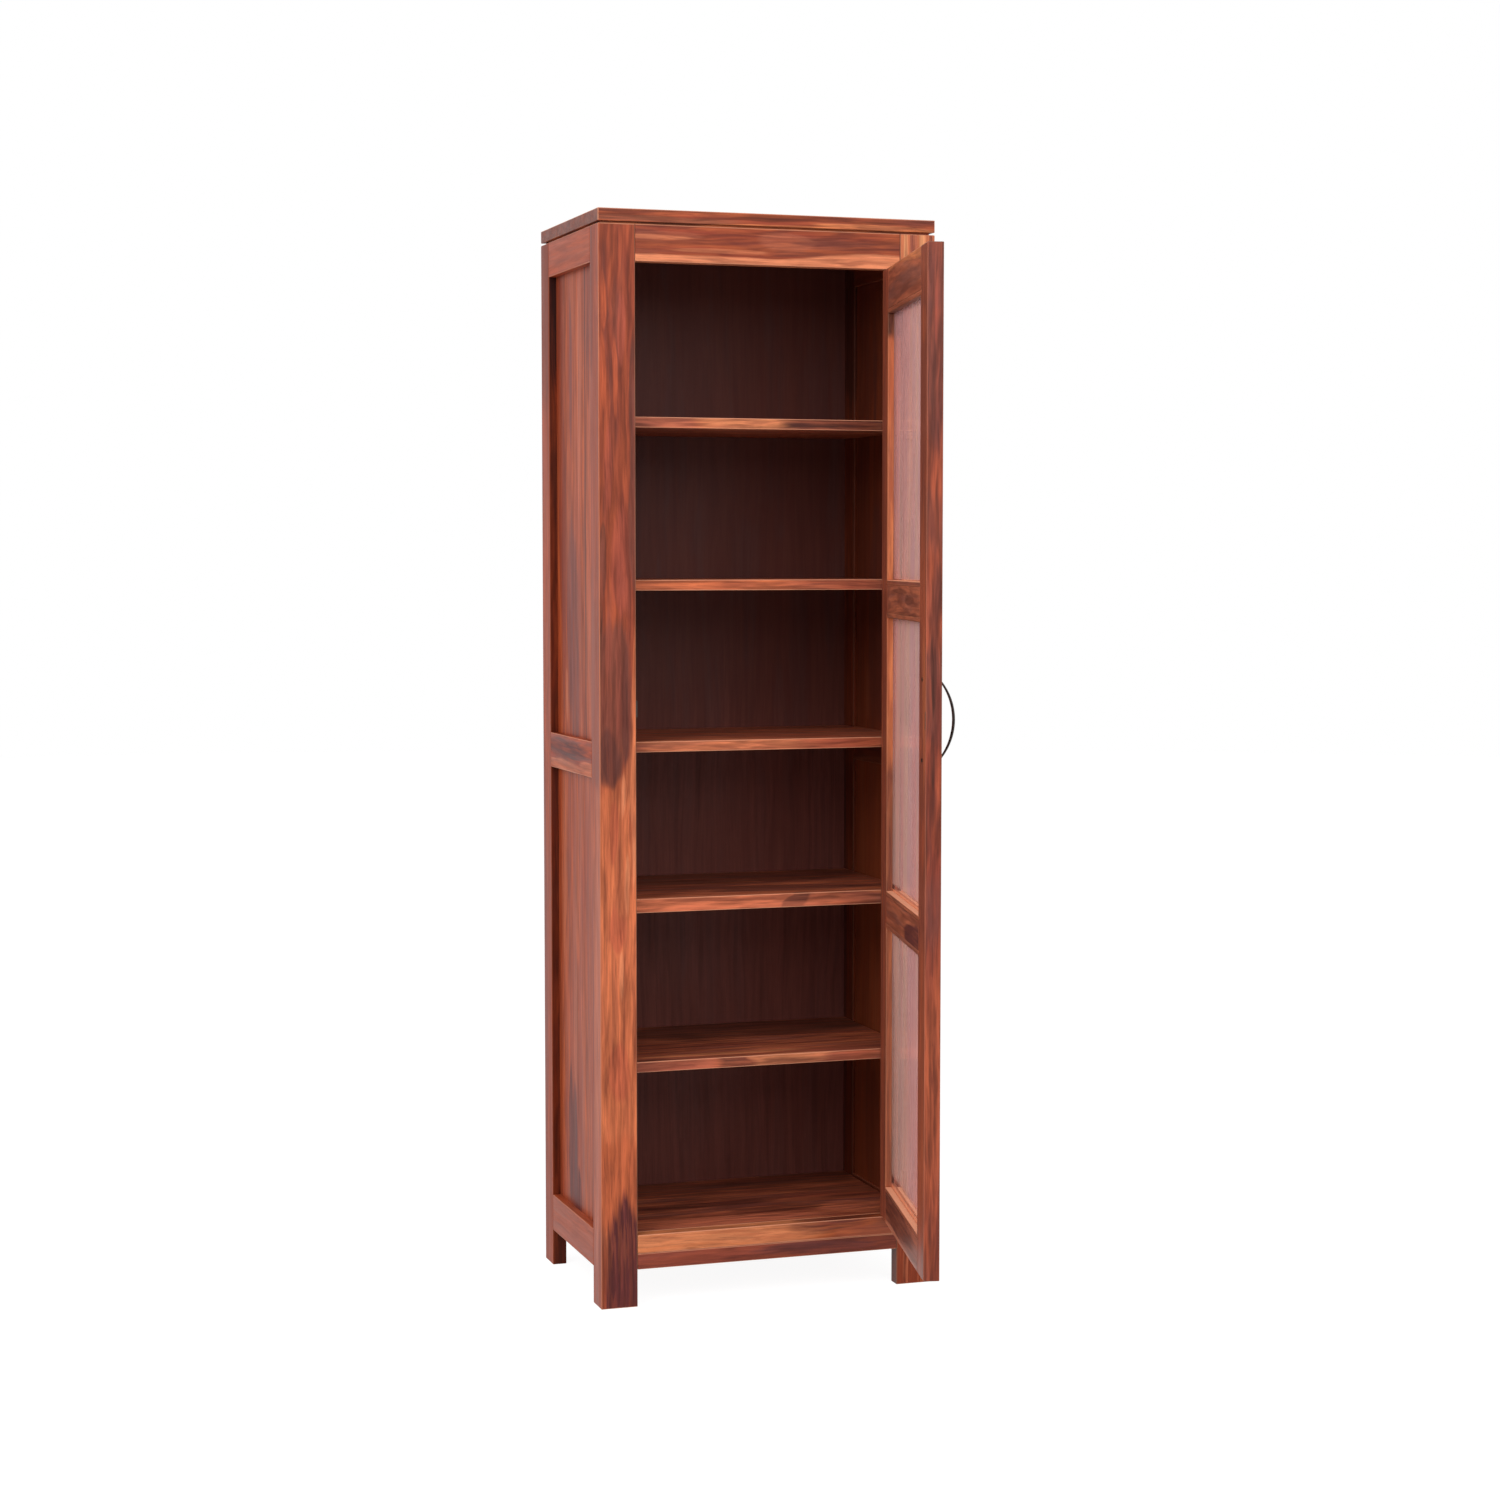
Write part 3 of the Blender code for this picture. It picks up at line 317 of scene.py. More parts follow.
    # dark flecks, streaks and pores, and fine lines lighter and darker than the wood
    dark_flecks = fade(tree, fleck[1], *DARK_FLECK_SPAN, 0.0, DARK_FLECK_SHARE)
    colour = blend(tree, dark_flecks, colour, dark)
    colour = blend(tree, fade(tree, streaks, *STREAK_SPAN, 0.0, STREAK_SHARE), colour, dark)
    colour = blend(tree, reckon(tree, "MULTIPLY", dots, PORE_SHARE), colour, HEART_WOOD)
    shade = fade(tree, lines, *LINE_SPAN, 1 - line_depth, 1 + line_depth)
    inputs = {0: colour, "Scale": shade}
    colour = place_node(tree, "VectorMath", inputs, operation="SCALE").outputs[0]

    # glued joints, sawn ends, edges pale from wear and a painted highlight, and faces with a stain,
    # painted shade or a painted highlight
    for seam in seams:
        apart = reckon(tree, "ABSOLUTE", reckon(tree, "SUBTRACT", across, seam))
        colour = blend(tree, fade(tree, apart, *SEAM_REACH, 0.0, SEAM_SHARE), colour, HEART_WOOD)
    length = half["xyz".index(order[0])]
    from_middle = reckon(tree, "ABSOLUTE", along)
    start, full = (length - depth for depth in SAWN_DEPTHS)
    colour = blend(tree, fade(tree, from_middle, start, full, 0.0, SAWN_SHARE), colour, dark)
    colour = blend(tree, worn_and_highlit_arrises(tree, axes, half, fleck[0], wear_and_highlight), colour, ARRIS_WEAR_AND_HIGHLIGHT)
    for axis, direction, face_colour, strength in stains_and_painted_light:
        reach = reckon(tree, "MULTIPLY", axes[axis.upper()], direction)
        start, full = (half["xyz".index(axis)] - depth for depth in STAIN_DEPTHS)
        colour = blend(tree, fade(tree, reach, start, full, 0.0, strength), colour, face_colour)
    tree.links.new(colour, shader.inputs["Base Color"])

    sheen = fade(tree, bands, *SHEEN_SPAN, *SHEEN_ROUGHNESS)
    gloss = reckon(tree, "MULTIPLY_ADD", dots, PORE_ROUGHNESS, sheen)
    tree.links.new(gloss, shader.inputs["Roughness"])
    shader.inputs["Specular IOR Level"].default_value = polish
    relief = reckon(tree, "MULTIPLY_ADD", dots, PORE_DEPTH, streaks)
    inputs = {"Height": relief, "Strength": RELIEF_SHARE, "Distance": RELIEF}
    bump = place_node(tree, "Bump", inputs)
    tree.links.new(bump.outputs[0], shader.inputs["Normal"])
    nodes[name].material_slots[0].material = material


timber(
    "top_panel",
    "xzy",
    1.0,
    tones=(tone(172, 86, 52), tone(140, 62, 42), tone(96, 44, 32), tone(116, 66, 58)),
    pith=(-0.05, -0.12),
    figures=(
        # the second, thin oval is a painted highlight along the lower edge of the front
        (PALE_WOOD, 0.85, ((0.20, -0.004, 0.13, 0.0065), (-0.06, -0.0105, 0.26, 0.0040))),
        (tone(146, 86, 62), 0.8, ((-0.20, -0.003, 0.12, 0.006),)),
        (BROWN_WOOD, 0.6, ((0.24, 0.008, 0.08, 0.005), (-0.02, 0.003, 0.12, 0.003))),
    ),
    wear_and_highlight=0.75,
    line_depth=0.3,
)


# Front legs: heavy L-shaped posts. The left one has flames of orange at the top, a dark
# heart below its middle, and a dark tongue at the foot. The right one is striped. Both carry
# painted shade on their inner faces, and the left one also along the rear of its side face,
# beside the recessed panel. The right one's front face is lighter, partly its paler wood and
# partly painted light where the open door shades it.
timber(
    "front_left_leg",
    "zxy",
    2.0,
    tones=(tone(164, 78, 50), tone(132, 60, 42), tone(94, 42, 32), tone(110, 60, 52)),
    pith=(0.05, -0.045),
    ring_depth=0.35,
    # painted shade on the inner face, and a stain on the outer face
    stains_and_painted_light=(("x", 1, PAINTED_SHADE, 0.7), ("x", -1, tone(160, 67, 38), 0.50)),
    figures=(
        (tone(212, 116, 74), 0.95, ((-0.44, 0.0, 0.41, 0.08), (0.10, 0.029, 0.19, 0.007))),
        (
            tone(226, 144, 102),
            0.5,
            (
                (0.0, 0.022, 0.07, 0.005),
                (-0.04, 0.008, 0.04, 0.004),
                (-0.10, 0.026, 0.08, 0.003),
                (-0.18, 0.016, 0.05, 0.003),
                (-0.34, 0.008, 0.04, 0.004),
            ),
        ),
        (
            tone(178, 80, 58),
            0.6,
            ((-0.11, -0.006, 0.05, 0.008), (-0.26, 0.0, 0.04, 0.014), (-0.50, 0.004, 0.05, 0.020)),
        ),
        (tone(184, 88, 52), 0.65, ((-0.70, 0.0, 0.09, 0.08),)),
        (
            tone(198, 94, 58),
            0.8,
            ((0.80, -0.022, 0.05, 0.008), (0.69, -0.025, 0.08, 0.006), (0.66, -0.002, 0.07, 0.005)),
        ),
        (
            tone(166, 80, 62),
            0.7,
            ((0.52, -0.018, 0.07, 0.008), (0.74, 0.010, 0.06, 0.006), (0.36, 0.002, 0.09, 0.016)),
        ),
        (tone(86, 50, 40), 0.8, ((0.38, -0.026, 0.040, 0.005), (0.24, -0.030, 0.06, 0.004))),
        (tone(112, 64, 54), 0.9, ((0.52, 0.029, 0.20, 0.006), (0.40, 0.026, 0.08, 0.010))),
        (
            tone(122, 64, 50),
            1.15,
            ((0.13, -0.006, 0.13, 0.025), (0.04, -0.014, 0.075, 0.023), (0.34, -0.026, 0.05, 0.006)),
        ),
        (tone(88, 48, 42), 0.85, ((0.01, -0.016, 0.050, 0.018), (0.12, 0.010, 0.10, 0.005))),
        (tone(146, 74, 58), 0.6, ((0.16, -0.002, 0.10, 0.004), (0.22, -0.016, 0.06, 0.005))),
        (tone(206, 114, 74), 0.9, ((0.05, 0.034, 0.13, 0.016), (-0.01, 0.030, 0.055, 0.022))),
        (tone(90, 40, 40), 1.3, ((-0.85, 0.012, 0.118, 0.034), (-0.92, 0.010, 0.13, 0.036))),
        (tone(122, 56, 48), 0.7, ((-0.84, 0.004, 0.05, 0.003), (-0.89, 0.022, 0.04, 0.003))),
        # the last two figures are painted shade at the rear of the side face, beside the recessed
        # panel
        (tone(44, 27, 31), 1.3, ((0.80, -0.034, 0.15, 0.010, 0.022, 0.018),)),
        (tone(98, 54, 58), 1.0, ((-0.50, -0.032, 0.38, 0.010, 0.024, 0.009),)),
    ),
    wear_and_highlight=0.8,
    line_depth=0.20,
)
timber(
    "front_right_leg",
    "zxy",
    3.0,
    pith=(-0.07, -0.03),
    # painted shade on the inner face
    stains_and_painted_light=(("x", -1, PAINTED_SHADE, 0.6),),
    figures=(
        # a lighter front face, partly paler wood and partly painted light where the open door shades
        # it
        (tone(242, 142, 100), 1.25, ((0.10, 0.0, 1.3, 0.12, -0.026, 0.014),)),
        (
            tone(176, 116, 106),
            0.9,
            ((0.56, -0.028, 0.30, 0.006), (0.10, 0.005, 0.25, 0.005), (-0.50, -0.028, 0.34, 0.005)),
        ),
        (
            tone(250, 176, 140),
            0.95,
            ((0.52, -0.017, 0.30, 0.006), (0.02, -0.012, 0.24, 0.010), (-0.46, -0.006, 0.36, 0.012)),
        ),
        (tone(138, 58, 32), 1.3, ((-0.87, -0.004, 0.08, 0.05),)),
        (tone(186, 98, 58), 0.9, ((-0.87, 0.018, 0.06, 0.006),)),
        (tone(198, 112, 76), 1.1, ((0.90, 0.0, 0.08, 0.10, -0.026, 0.016),)),
        (tone(138, 74, 60), 1.0, ((0.88, -0.010, 0.06, 0.007), (0.88, 0.022, 0.06, 0.004))),
        (tone(228, 156, 108), 0.9, ((0.88, -0.027, 0.08, 0.004), (0.88, 0.008, 0.06, 0.006))),
    ),
)


# Front rails: a top rail, and below the doorway a light sill over a dark bottom rail. They
# are tenoned into the legs and lie flush with their faces.
timber(
    "front_top_rail",
    "xzy",
    4.0,
    tones=(tone(170, 84, 50), tone(146, 64, 44), tone(100, 44, 34), tone(122, 66, 56)),
    pith=(0.06, -0.05),
    tilt=0.12,
    ring_depth=0.85,
    figures=(
        (tone(178, 100, 74), 0.6, ((0.03, 0.010, 0.05, 0.020), (-0.18, 0.016, 0.06, 0.006))),
        (tone(232, 142, 100), 1.25, ((-0.12, -0.030, 0.30, 0.010), (0.18, -0.030, 0.13, 0.018))),
        (tone(206, 122, 84), 0.7, ((-0.20, 0.012, 0.06, 0.004), (-0.10, -0.010, 0.08, 0.004))),
        (tone(110, 56, 46), 0.7, ((0.04, -0.012, 0.05, 0.005), (0.12, 0.008, 0.09, 0.006))),
    ),
    wear_and_highlight=0.7,
)
timber(
    "front_sill",
    "xzy",
    5.0,
    balance=0.48,
    figures=(
        (tone(222, 138, 92), 0.9, ((-0.11, 0.0, 0.22, 0.03),)),
        (tone(92, 50, 42), 0.75, ((0.13, 0.010, 0.08, 0.008),)),
        (tone(176, 92, 66), 0.7, ((0.20, -0.006, 0.05, 0.010),)),
    ),
    wear_and_highlight=0.85,
)
timber(
    "front_bottom_rail",
    "xzy",
    6.0,
    tones=(tone(150, 72, 48), tone(118, 54, 40), tone(78, 34, 30), tone(100, 56, 54)),
    figures=(
        (tone(158, 76, 56), 0.7, ((-0.17, 0.0, 0.10, 0.02), (-0.03, 0.004, 0.05, 0.008))),
        (tone(84, 44, 46), 0.7, ((0.10, 0.0, 0.12, 0.012),)),
    ),
)


# Back legs and the rails between them: plain square posts of the same wood, tenoned
# together. They are seen past the side panels and inside, where their faces carry painted
# shade, as does the back legs' front face in the recess beside the panels.
SIDE_TONES = (tone(182, 79, 42), tone(148, 56, 30), tone(103, 38, 24), tone(123, 60, 46))
# painted shade on faces inside the case and in the recess beside the side panels
INNER_SHADE = {"left": PAINTED_SHADE, "right": tone(80, 37, 23)}
INNER_SHADE_SHARE = 0.72
OUTER_STAIN = tone(154, 65, 35)
LEG_STAIN_SHARE = 0.55
BACK_LEG_FIGURES = (
    (tone(50, 28, 30), 1.3, ((0.79, 0.0, 0.16, 0.05),)),
    (tone(184, 87, 54), 0.6, ((0.20, 0.004, 0.48, 0.016),)),
    (tone(78, 52, 58), 0.9, ((-0.42, 0.020, 0.46, 0.012),)),
)
for direction, side in ((1, "left"), (-1, "right")):
    timber(
        f"back_{side}_leg",
        "zyx",
        8.0 + direction,
        tones=SIDE_TONES,
        figures=BACK_LEG_FIGURES,
        stains_and_painted_light=(
            ("x", direction, INNER_SHADE[side], INNER_SHADE_SHARE),
            ("y", -1, INNER_SHADE[side], INNER_SHADE_SHARE),
            ("x", -direction, OUTER_STAIN, LEG_STAIN_SHARE),
        ),
        line_depth=0.3,
        polish=0.10,
    )
for number, name in enumerate(("back_top_rail", "back_bottom_rail")):
    # painted shade on the inner face
    stains_and_painted_light = (("y", -1, PAINTED_SHADE, INNER_SHADE_SHARE),)
    timber(name, "xzy", 9.0 + number, tones=SIDE_TONES, stains_and_painted_light=stains_and_painted_light)


# Sides: three rails tenoned between the legs, and two thin panels loose in their grooves,
# each glued up from narrow boards with the grain upright. Their faces inside the case carry
# painted shade.
RAIL_STAIN_SHARE = {"top": 0.35, "middle": 0.0, "bottom": 0.35}
RAIL_FIGURES = {
    "top": ((tone(182, 92, 60), 0.6, ((-0.02, 0.0, 0.16, 0.03),)),),
    "middle": (
        (tone(204, 118, 82), 0.75, ((0.03, -0.026, 0.13, 0.010), (-0.12, -0.022, 0.06, 0.014))),
        (tone(88, 43, 42), 1.0, ((0.02, 0.008, 0.15, 0.017),)),
    ),
    "bottom": ((tone(176, 85, 53), 0.95, ((0.0, 0.0, 0.20, 0.06),)),),
}
PANEL_TONES = (tone(184, 87, 47), tone(156, 64, 35), tone(122, 49, 29), tone(134, 64, 44))
PANEL_FIGURES = {
    "upper": (
        (tone(196, 104, 72), 0.7, ((0.20, -0.020, 0.20, 0.020), (-0.12, -0.09, 0.34, 0.030))),
        (tone(112, 48, 40), 0.6, ((0.10, 0.10, 0.40, 0.030), (0.30, -0.070, 0.14, 0.010))),
        (
            tone(100, 58, 60),
            0.8,
            ((-0.20, 0.035, 0.20, 0.036), (-0.30, 0.012, 0.10, 0.020), (0.24, 0.045, 0.12, 0.010)),
        ),
        (tone(204, 118, 84), 0.7, ((-0.33, 0.078, 0.05, 0.008),)),
    ),
    "lower": (
        (tone(188, 96, 58), 0.7, ((0.22, 0.10, 0.20, 0.018), (-0.10, 0.03, 0.14, 0.012))),
        (
            tone(90, 30, 28),
            1.15,
            ((-0.29, 0.045, 0.10, 0.032), (-0.37, 0.012, 0.06, 0.022), (-0.20, 0.064, 0.07, 0.013)),
        ),
    ),
}
PANEL_SEAMS = {"upper": (-0.052,), "lower": (-0.092,)}
# painted shade on the panels' inner faces
PANEL_INNER_SHADE = {
    ("left", "upper"): PAINTED_SHADE,
    ("left", "lower"): PAINTED_SHADE,
    ("right", "upper"): INNER_SHADE["right"],
    ("right", "lower"): tone(122, 59, 34),
}
for direction, side in ((1, "left"), (-1, "right")):
    for row, (rail, figures) in enumerate(RAIL_FIGURES.items()):
        timber(
            f"{side}_{rail}_rail",
            "yzx",
            13.0 + 3 * direction + row,
            tones=SIDE_TONES,
            tilt=0.10,
            figures=figures,
            stains_and_painted_light=(
                ("x", direction, INNER_SHADE[side], INNER_SHADE_SHARE),
                ("x", -direction, OUTER_STAIN, RAIL_STAIN_SHARE[rail]),
            ),
            polish=0.11,
        )
    for row, (panel, figures) in enumerate(PANEL_FIGURES.items()):
        timber(
            f"{side}_{panel}_panel",
            "zyx",
            23.0 + 3 * direction + row,
            tones=PANEL_TONES,
            fleck_length=0.28,
            figures=figures,
            seams=PANEL_SEAMS[panel],
            stains_and_painted_light=(("x", direction, PANEL_INNER_SHADE[side, panel], INNER_SHADE_SHARE),),
            polish=0.12,
        )


# Back: a thin board stained dark, with the grain upright. It is let into a rebate behind
# the back legs and screwed there, and screwed to the rails between them.
timber(
    "back_panel",
    "zxy",
    31.0,
    tones=(tone(98, 53, 45), tone(92, 48, 41), tone(84, 44, 38), tone(90, 55, 52)),
    ring_width=0.030,
    ring_depth=0.2,
    fleck_length=0.3,
    figures=((tone(128, 72, 63), 0.62, ((-0.55, 0.0, 0.55, 0.9),)),),
    wear_and_highlight=0.1,
    line_depth=0.02,
)


def dress(piece, material):
    """Puts a finish on a piece."""
    if piece.material_slots:
        piece.material_slots[0].material = material
    else:
        piece.data.materials.append(material)


MOTTLE_SCALE, MOTTLE_SPAN = (260, 260, 260), (0.35, 0.7)
MOTTLE_HEIGHT, MOTTLE_HEIGHT_SHARE = 0.0004, 0.08
RUBBED_SCALE, RUBBED_SPAN = (60, 60, 60), (0.35, 0.65)
RUBBED_SMOOTHER, WORN_ROUGHER = 0.07, 0.08


def metal(name, colour, second_colour, roughness, metallic=1.0):
    """Metal or plastic with a fine mottled surface and rubbed patches."""
    material = bpy.data.materials.new(name)
    material.use_nodes = True
    tree = material.node_tree
    shader = tree.nodes["Principled BSDF"]
    place = place_node(tree, "TexCoord").outputs["Object"]
    mottle = noise(tree, place, MOTTLE_SCALE, 4, 1.0).outputs[0]
    rubbed = noise(tree, place, RUBBED_SCALE, 3, 2.0).outputs[0]
    colour = blend(tree, fade(tree, mottle, *MOTTLE_SPAN), colour, second_colour)
    tree.links.new(colour, shader.inputs["Base Color"])
    smooth, coarse = roughness - RUBBED_SMOOTHER, roughness + WORN_ROUGHER
    rough = fade(tree, rubbed, *RUBBED_SPAN, smooth, coarse)
    tree.links.new(rough, shader.inputs["Roughness"])
    shader.inputs["Metallic"].default_value = metallic
    inputs = {"Height": mottle, "Strength": MOTTLE_HEIGHT_SHARE, "Distance": MOTTLE_HEIGHT}
    bump = place_node(tree, "Bump", inputs)
    tree.links.new(bump.outputs[0], shader.inputs["Normal"])
    return material


CROSS_ARM_SHARE = 0.62
CROSS_WIDTH_SHARE = 0.13
CROSS_DEPTH_SHARE = 0.5
CROSS_TAPER_SHARE = 0.7


def press_cross(shape, place, rim, radius, top):
    """A tapered cross pressed into the flat top of a head, inside its rim."""
    arm, width = CROSS_ARM_SHARE * radius, CROSS_WIDTH_SHARE * radius
    corners = []
    for quarter in range(4):
        swing = Matrix.Rotation(quarter * math.pi / 2, 4, "Z")
        for x, y in ((width, width), (width, arm), (-width, arm)):
            corners.append(swing @ Vector((x, y, 0)))
    at_top = Vector((0, 0, top))
    at_floor = Vector((0, 0, top - CROSS_DEPTH_SHARE * radius))
    mouth = [shape.verts.new(place @ (corner + at_top)) for corner in corners]
    pit = [shape.verts.new(place @ (corner * CROSS_TAPER_SHARE + at_floor)) for corner in corners]
    edges = [shape.edges.new((mouth[n], mouth[n - 1])) for n in range(len(mouth))]
    edges += [shape.edges.get((rim[n], rim[n - 1])) for n in range(len(rim))]
    bmesh.ops.triangle_fill(shape, use_beauty=True, edges=edges)
    for n in range(len(mouth)):
        shape.faces.new((mouth[n - 1], mouth[n], pit[n], pit[n - 1]))
    shape.faces.new(pit)


HEAD_TWIST = 0.9


def screws(name, body, material, spots, facing, profile, sides=24, cross=True):
    """Cross-head screws or plain pins in one piece.

    profile is the head's outline as (radius, height) from below.
    """
    shape = bmesh.new()
    aim = Vector(facing).to_track_quat("Z", "Y").to_matrix().to_4x4()
    for number, spot in enumerate(spots):
        place = Matrix.Translation(spot) @ aim @ Matrix.Rotation(HEAD_TWIST * number, 4, "Z")
        rings = []
        for radius, height in profile:
            ring = []
            for step in range(sides):
                angle = 2 * math.pi * step / sides
                point = Vector((radius * math.cos(angle), radius * math.sin(angle), height))
                ring.append(shape.verts.new(place @ point))
            rings.append(ring)
        shape.faces.new(list(reversed(rings[0])))
        for lower, upper in zip(rings, rings[1:]):
            for step in range(sides):
                after = (step + 1) % sides
                shape.faces.new((lower[step], lower[after], upper[after], upper[step]))
        if cross:
            press_cross(shape, place, rings[-1], *profile[-1])
        else:
            shape.faces.new(rings[-1])
    bmesh.ops.recalc_face_normals(shape, faces=shape.faces)
    mesh = bpy.data.meshes.new(name)
    shape.to_mesh(mesh)
    shape.free()
    piece = bpy.data.objects.new(name, mesh)
    bpy.context.collection.objects.link(piece)
    dress(piece, material)
    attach(piece, body)


ZINC = metal("zinc_screws", tone(150, 146, 138), tone(112, 108, 100), 0.36)
BACK_HEAD = ((0.0012, -0.0018), (0.0030, 0.0), (0.0029, 0.0001))
LEG_SCREWS = 7
LEG_SCREW_FROM_END = 0.04
LEG_SCREW_INSET = 0.0050
RAIL_SCREW_PLACES = (-0.14, 0.0, 0.14)
TOP_RAIL_SCREW_INSET = 0.011
BOTTOM_RAIL_SCREW_INSET = 0.020
back_low, back_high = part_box("back_panel")
run = back_high.z - back_low.z - 2 * LEG_SCREW_FROM_END
spots = []
for step in range(LEG_SCREWS):
    height = back_low.z + LEG_SCREW_FROM_END + step * run / (LEG_SCREWS - 1)
    for x in (back_low.x + LEG_SCREW_INSET, back_high.x - LEG_SCREW_INSET):
        spots.append((x, back_high.y, height))
for x in RAIL_SCREW_PLACES:
    spots.append((x, back_high.y, back_high.z - TOP_RAIL_SCREW_INSET))
    spots.append((x, back_high.y, back_low.z + BOTTOM_RAIL_SCREW_INSET))
screws("back_screws", "case", ZINC, spots, (0, 1, 0), BACK_HEAD)


# Bottom board and shelves: full-depth boards of solid wood with the grain running across
# the case, housed in the legs at their corners. Each shows its own patches on its edge. The
# dark patches at the rear of the bottom board and the two lowest shelves are painted shade,
# as are the darker right ends of the three upper shelves' front edges.
FRONT_EDGE = -0.172
SHELF_FIGURES = (
    (
        (tone(78, 36, 28), 0.8, ((0.05, -0.085, 0.09, 0.020), (-0.06, -0.02, 0.14, 0.016))),
        (tone(204, 112, 82), 0.8, ((-0.06, -0.140, 0.20, 0.030), (0.20, -0.10, 0.06, 0.04))),
        # painted shade at the rear
        (tone(56, 26, 18), 0.5, ((0.0, 0.15, 0.35, 0.07),)),
    ),
    (
        (tone(176, 94, 72), 0.8, ((-0.16, FRONT_EDGE, 0.08, 0.03), (0.14, FRONT_EDGE, 0.08, 0.03))),
        (
            tone(78, 42, 33),
            0.85,
            (
                (-0.02, FRONT_EDGE, 0.055, 0.009),
                (-0.20, -0.160, 0.05, 0.008),
                # painted shade at the rear
                (0.06, 0.10, 0.26, 0.09),
            ),
        ),
        (tone(226, 138, 94), 0.9, ((0.045, FRONT_EDGE, 0.06, 0.012), (-0.06, -0.13, 0.14, 0.012))),
    ),
    (
        (tone(210, 114, 78), 0.95, ((-0.10, FRONT_EDGE, 0.22, 0.024),)),
        (
            tone(84, 48, 42),
            0.8,
            (
                (0.10, -0.10, 0.16, 0.03),
                (-0.05, -0.06, 0.20, 0.02),
                (0.073, FRONT_EDGE, 0.018, 0.012),
            ),
        ),
        # painted shade at the rear
        (tone(56, 28, 20), 0.65, ((0.0, 0.10, 0.30, 0.10),)),
    ),
    (
        (tone(214, 124, 84), 0.85, ((-0.07, FRONT_EDGE, 0.15, 0.03),)),
        # painted shade at the right end of the front edge
        (tone(170, 84, 58), 0.7, ((0.16, FRONT_EDGE, 0.09, 0.03),)),
    ),
    (
        (tone(202, 107, 67), 0.85, ((-0.09, FRONT_EDGE, 0.18, 0.03),)),
        # painted shade at the right end of the front edge
        (tone(150, 78, 58), 0.7, ((0.15, FRONT_EDGE, 0.10, 0.02),)),
    ),
    (
        (tone(184, 104, 80), 0.7, ((-0.18, FRONT_EDGE, 0.06, 0.03),)),
        (tone(224, 138, 92), 0.9, ((-0.02, FRONT_EDGE, 0.09, 0.03),)),
        # painted shade at the right end of the front edge
        (tone(78, 42, 36), 0.95, ((0.15, FRONT_EDGE, 0.10, 0.03),)),
    ),
)
BOARD_TONES = (tone(190, 104, 70), tone(148, 72, 52), tone(98, 48, 38), tone(118, 70, 64))
boards = ("bottom_board", "shelf_1", "shelf_2", "shelf_3", "shelf_4", "shelf_5")
for number, (name, figures) in enumerate(zip(boards, SHELF_FIGURES)):
    timber(name, "xyz", 33.0 + number, tones=BOARD_TONES, figures=figures, wear_and_highlight=0.9, line_depth=0.3)


# Door frame: two stiles and four rails, mortised and tenoned. The grain follows each piece,
# so the rails run across and the stiles run up. The upper faces of all rails but the top one
# carry a painted highlight, and the bottom rail a thin painted highlight near its lower edge.
door_turn = -math.radians(frame["joints"][0]["range_deg"][0])
DOOR_TONES = (tone(160, 76, 50), tone(126, 56, 41), tone(84, 38, 30), tone(106, 58, 50))
STILE_FIGURES = {
    "lock": (
        (
            tone(97, 52, 45),
            0.8,
            ((0.60, 0.0, 0.14, 0.05), (0.12, 0.0, 0.09, 0.05), (-0.02, 0.0, 0.05, 0.03)),
        ),
        (
            tone(96, 54, 48),
            0.6,
            ((0.78, 0.0, 0.06, 0.05), (0.38, 0.0, 0.06, 0.04), (-0.22, 0.0, 0.08, 0.04)),
        ),
        (
            tone(168, 84, 54),
            0.7,
            ((-0.50, 0.0, 0.22, 0.05), (0.28, 0.0, 0.12, 0.02), (0.70, 0.0, 0.03, 0.02)),
        ),
        (tone(198, 108, 68), 0.95, ((0.08, -0.012, 0.13, 0.014, 0.013, 0.005),)),
        (
            tone(146, 68, 54),
            0.7,
            ((0.10, -0.030, 0.05, 0.006, -0.004, 0.004), (0.72, -0.030, 0.05, 0.006, 0.0, 0.002)),
        ),
        (
            tone(74, 38, 30),
            0.8,
            ((0.16, -0.030, 0.07, 0.006, 0.004, 0.0025), (0.02, -0.030, 0.05, 0.006, 0.003, 0.003)),
        ),
    ),
    "hinge": (),
}
for number, (stile, figures) in enumerate(STILE_FIGURES.items()):
    timber(
        f"door_{stile}_stile",
        "zxy",
        41.0 + number,
        tones=DOOR_TONES,
        figures=figures,
        stains_and_painted_light=(("y", 1, tone(170, 92, 68), 0.30),),
        wear_and_highlight=0.15,
        line_depth=0.28,
        turn=door_turn,
    )
DOOR_RAIL_TONES = (tone(190, 106, 76), tone(152, 80, 58), tone(108, 56, 44), tone(132, 82, 72))
# a painted highlight on a piece's upper face
PAINTED_HIGHLIGHT_ON_TOP = (("z", 1, tone(255, 174, 136), 0.95),)
DOOR_RAIL_FIGURES = {
    "top": (
        (tone(120, 76, 68), 0.6, ((0.0, -0.004, 0.2, 0.016),)),
        (PALE_WOOD, 0.8, ((-0.12, 0.036, 0.17, 0.014), (0.10, 0.040, 0.12, 0.010))),
    ),
    "upper": (
        (
            tone(98, 54, 42),
            0.8,
            ((0.05, 0.010, 0.09, 0.005), (-0.06, -0.002, 0.05, 0.010), (-0.02, -0.026, 0.14, 0.006)),
        ),
    ),
    "lower": (
        (tone(93, 48, 46), 1.3, ((-0.105, -0.012, 0.100, 0.023), (-0.15, -0.010, 0.05, 0.026))),
    ),
    "bottom": (
        (tone(82, 40, 34), 1.0, ((0.06, 0.004, 0.17, 0.03),)),
        (tone(124, 76, 64), 0.5, ((-0.14, -0.010, 0.10, 0.02),)),
        # a thin painted highlight near the lower edge
        (tone(204, 126, 98), 1.0, ((0.04, -0.0300, 0.20, 0.0036),)),
    ),
}
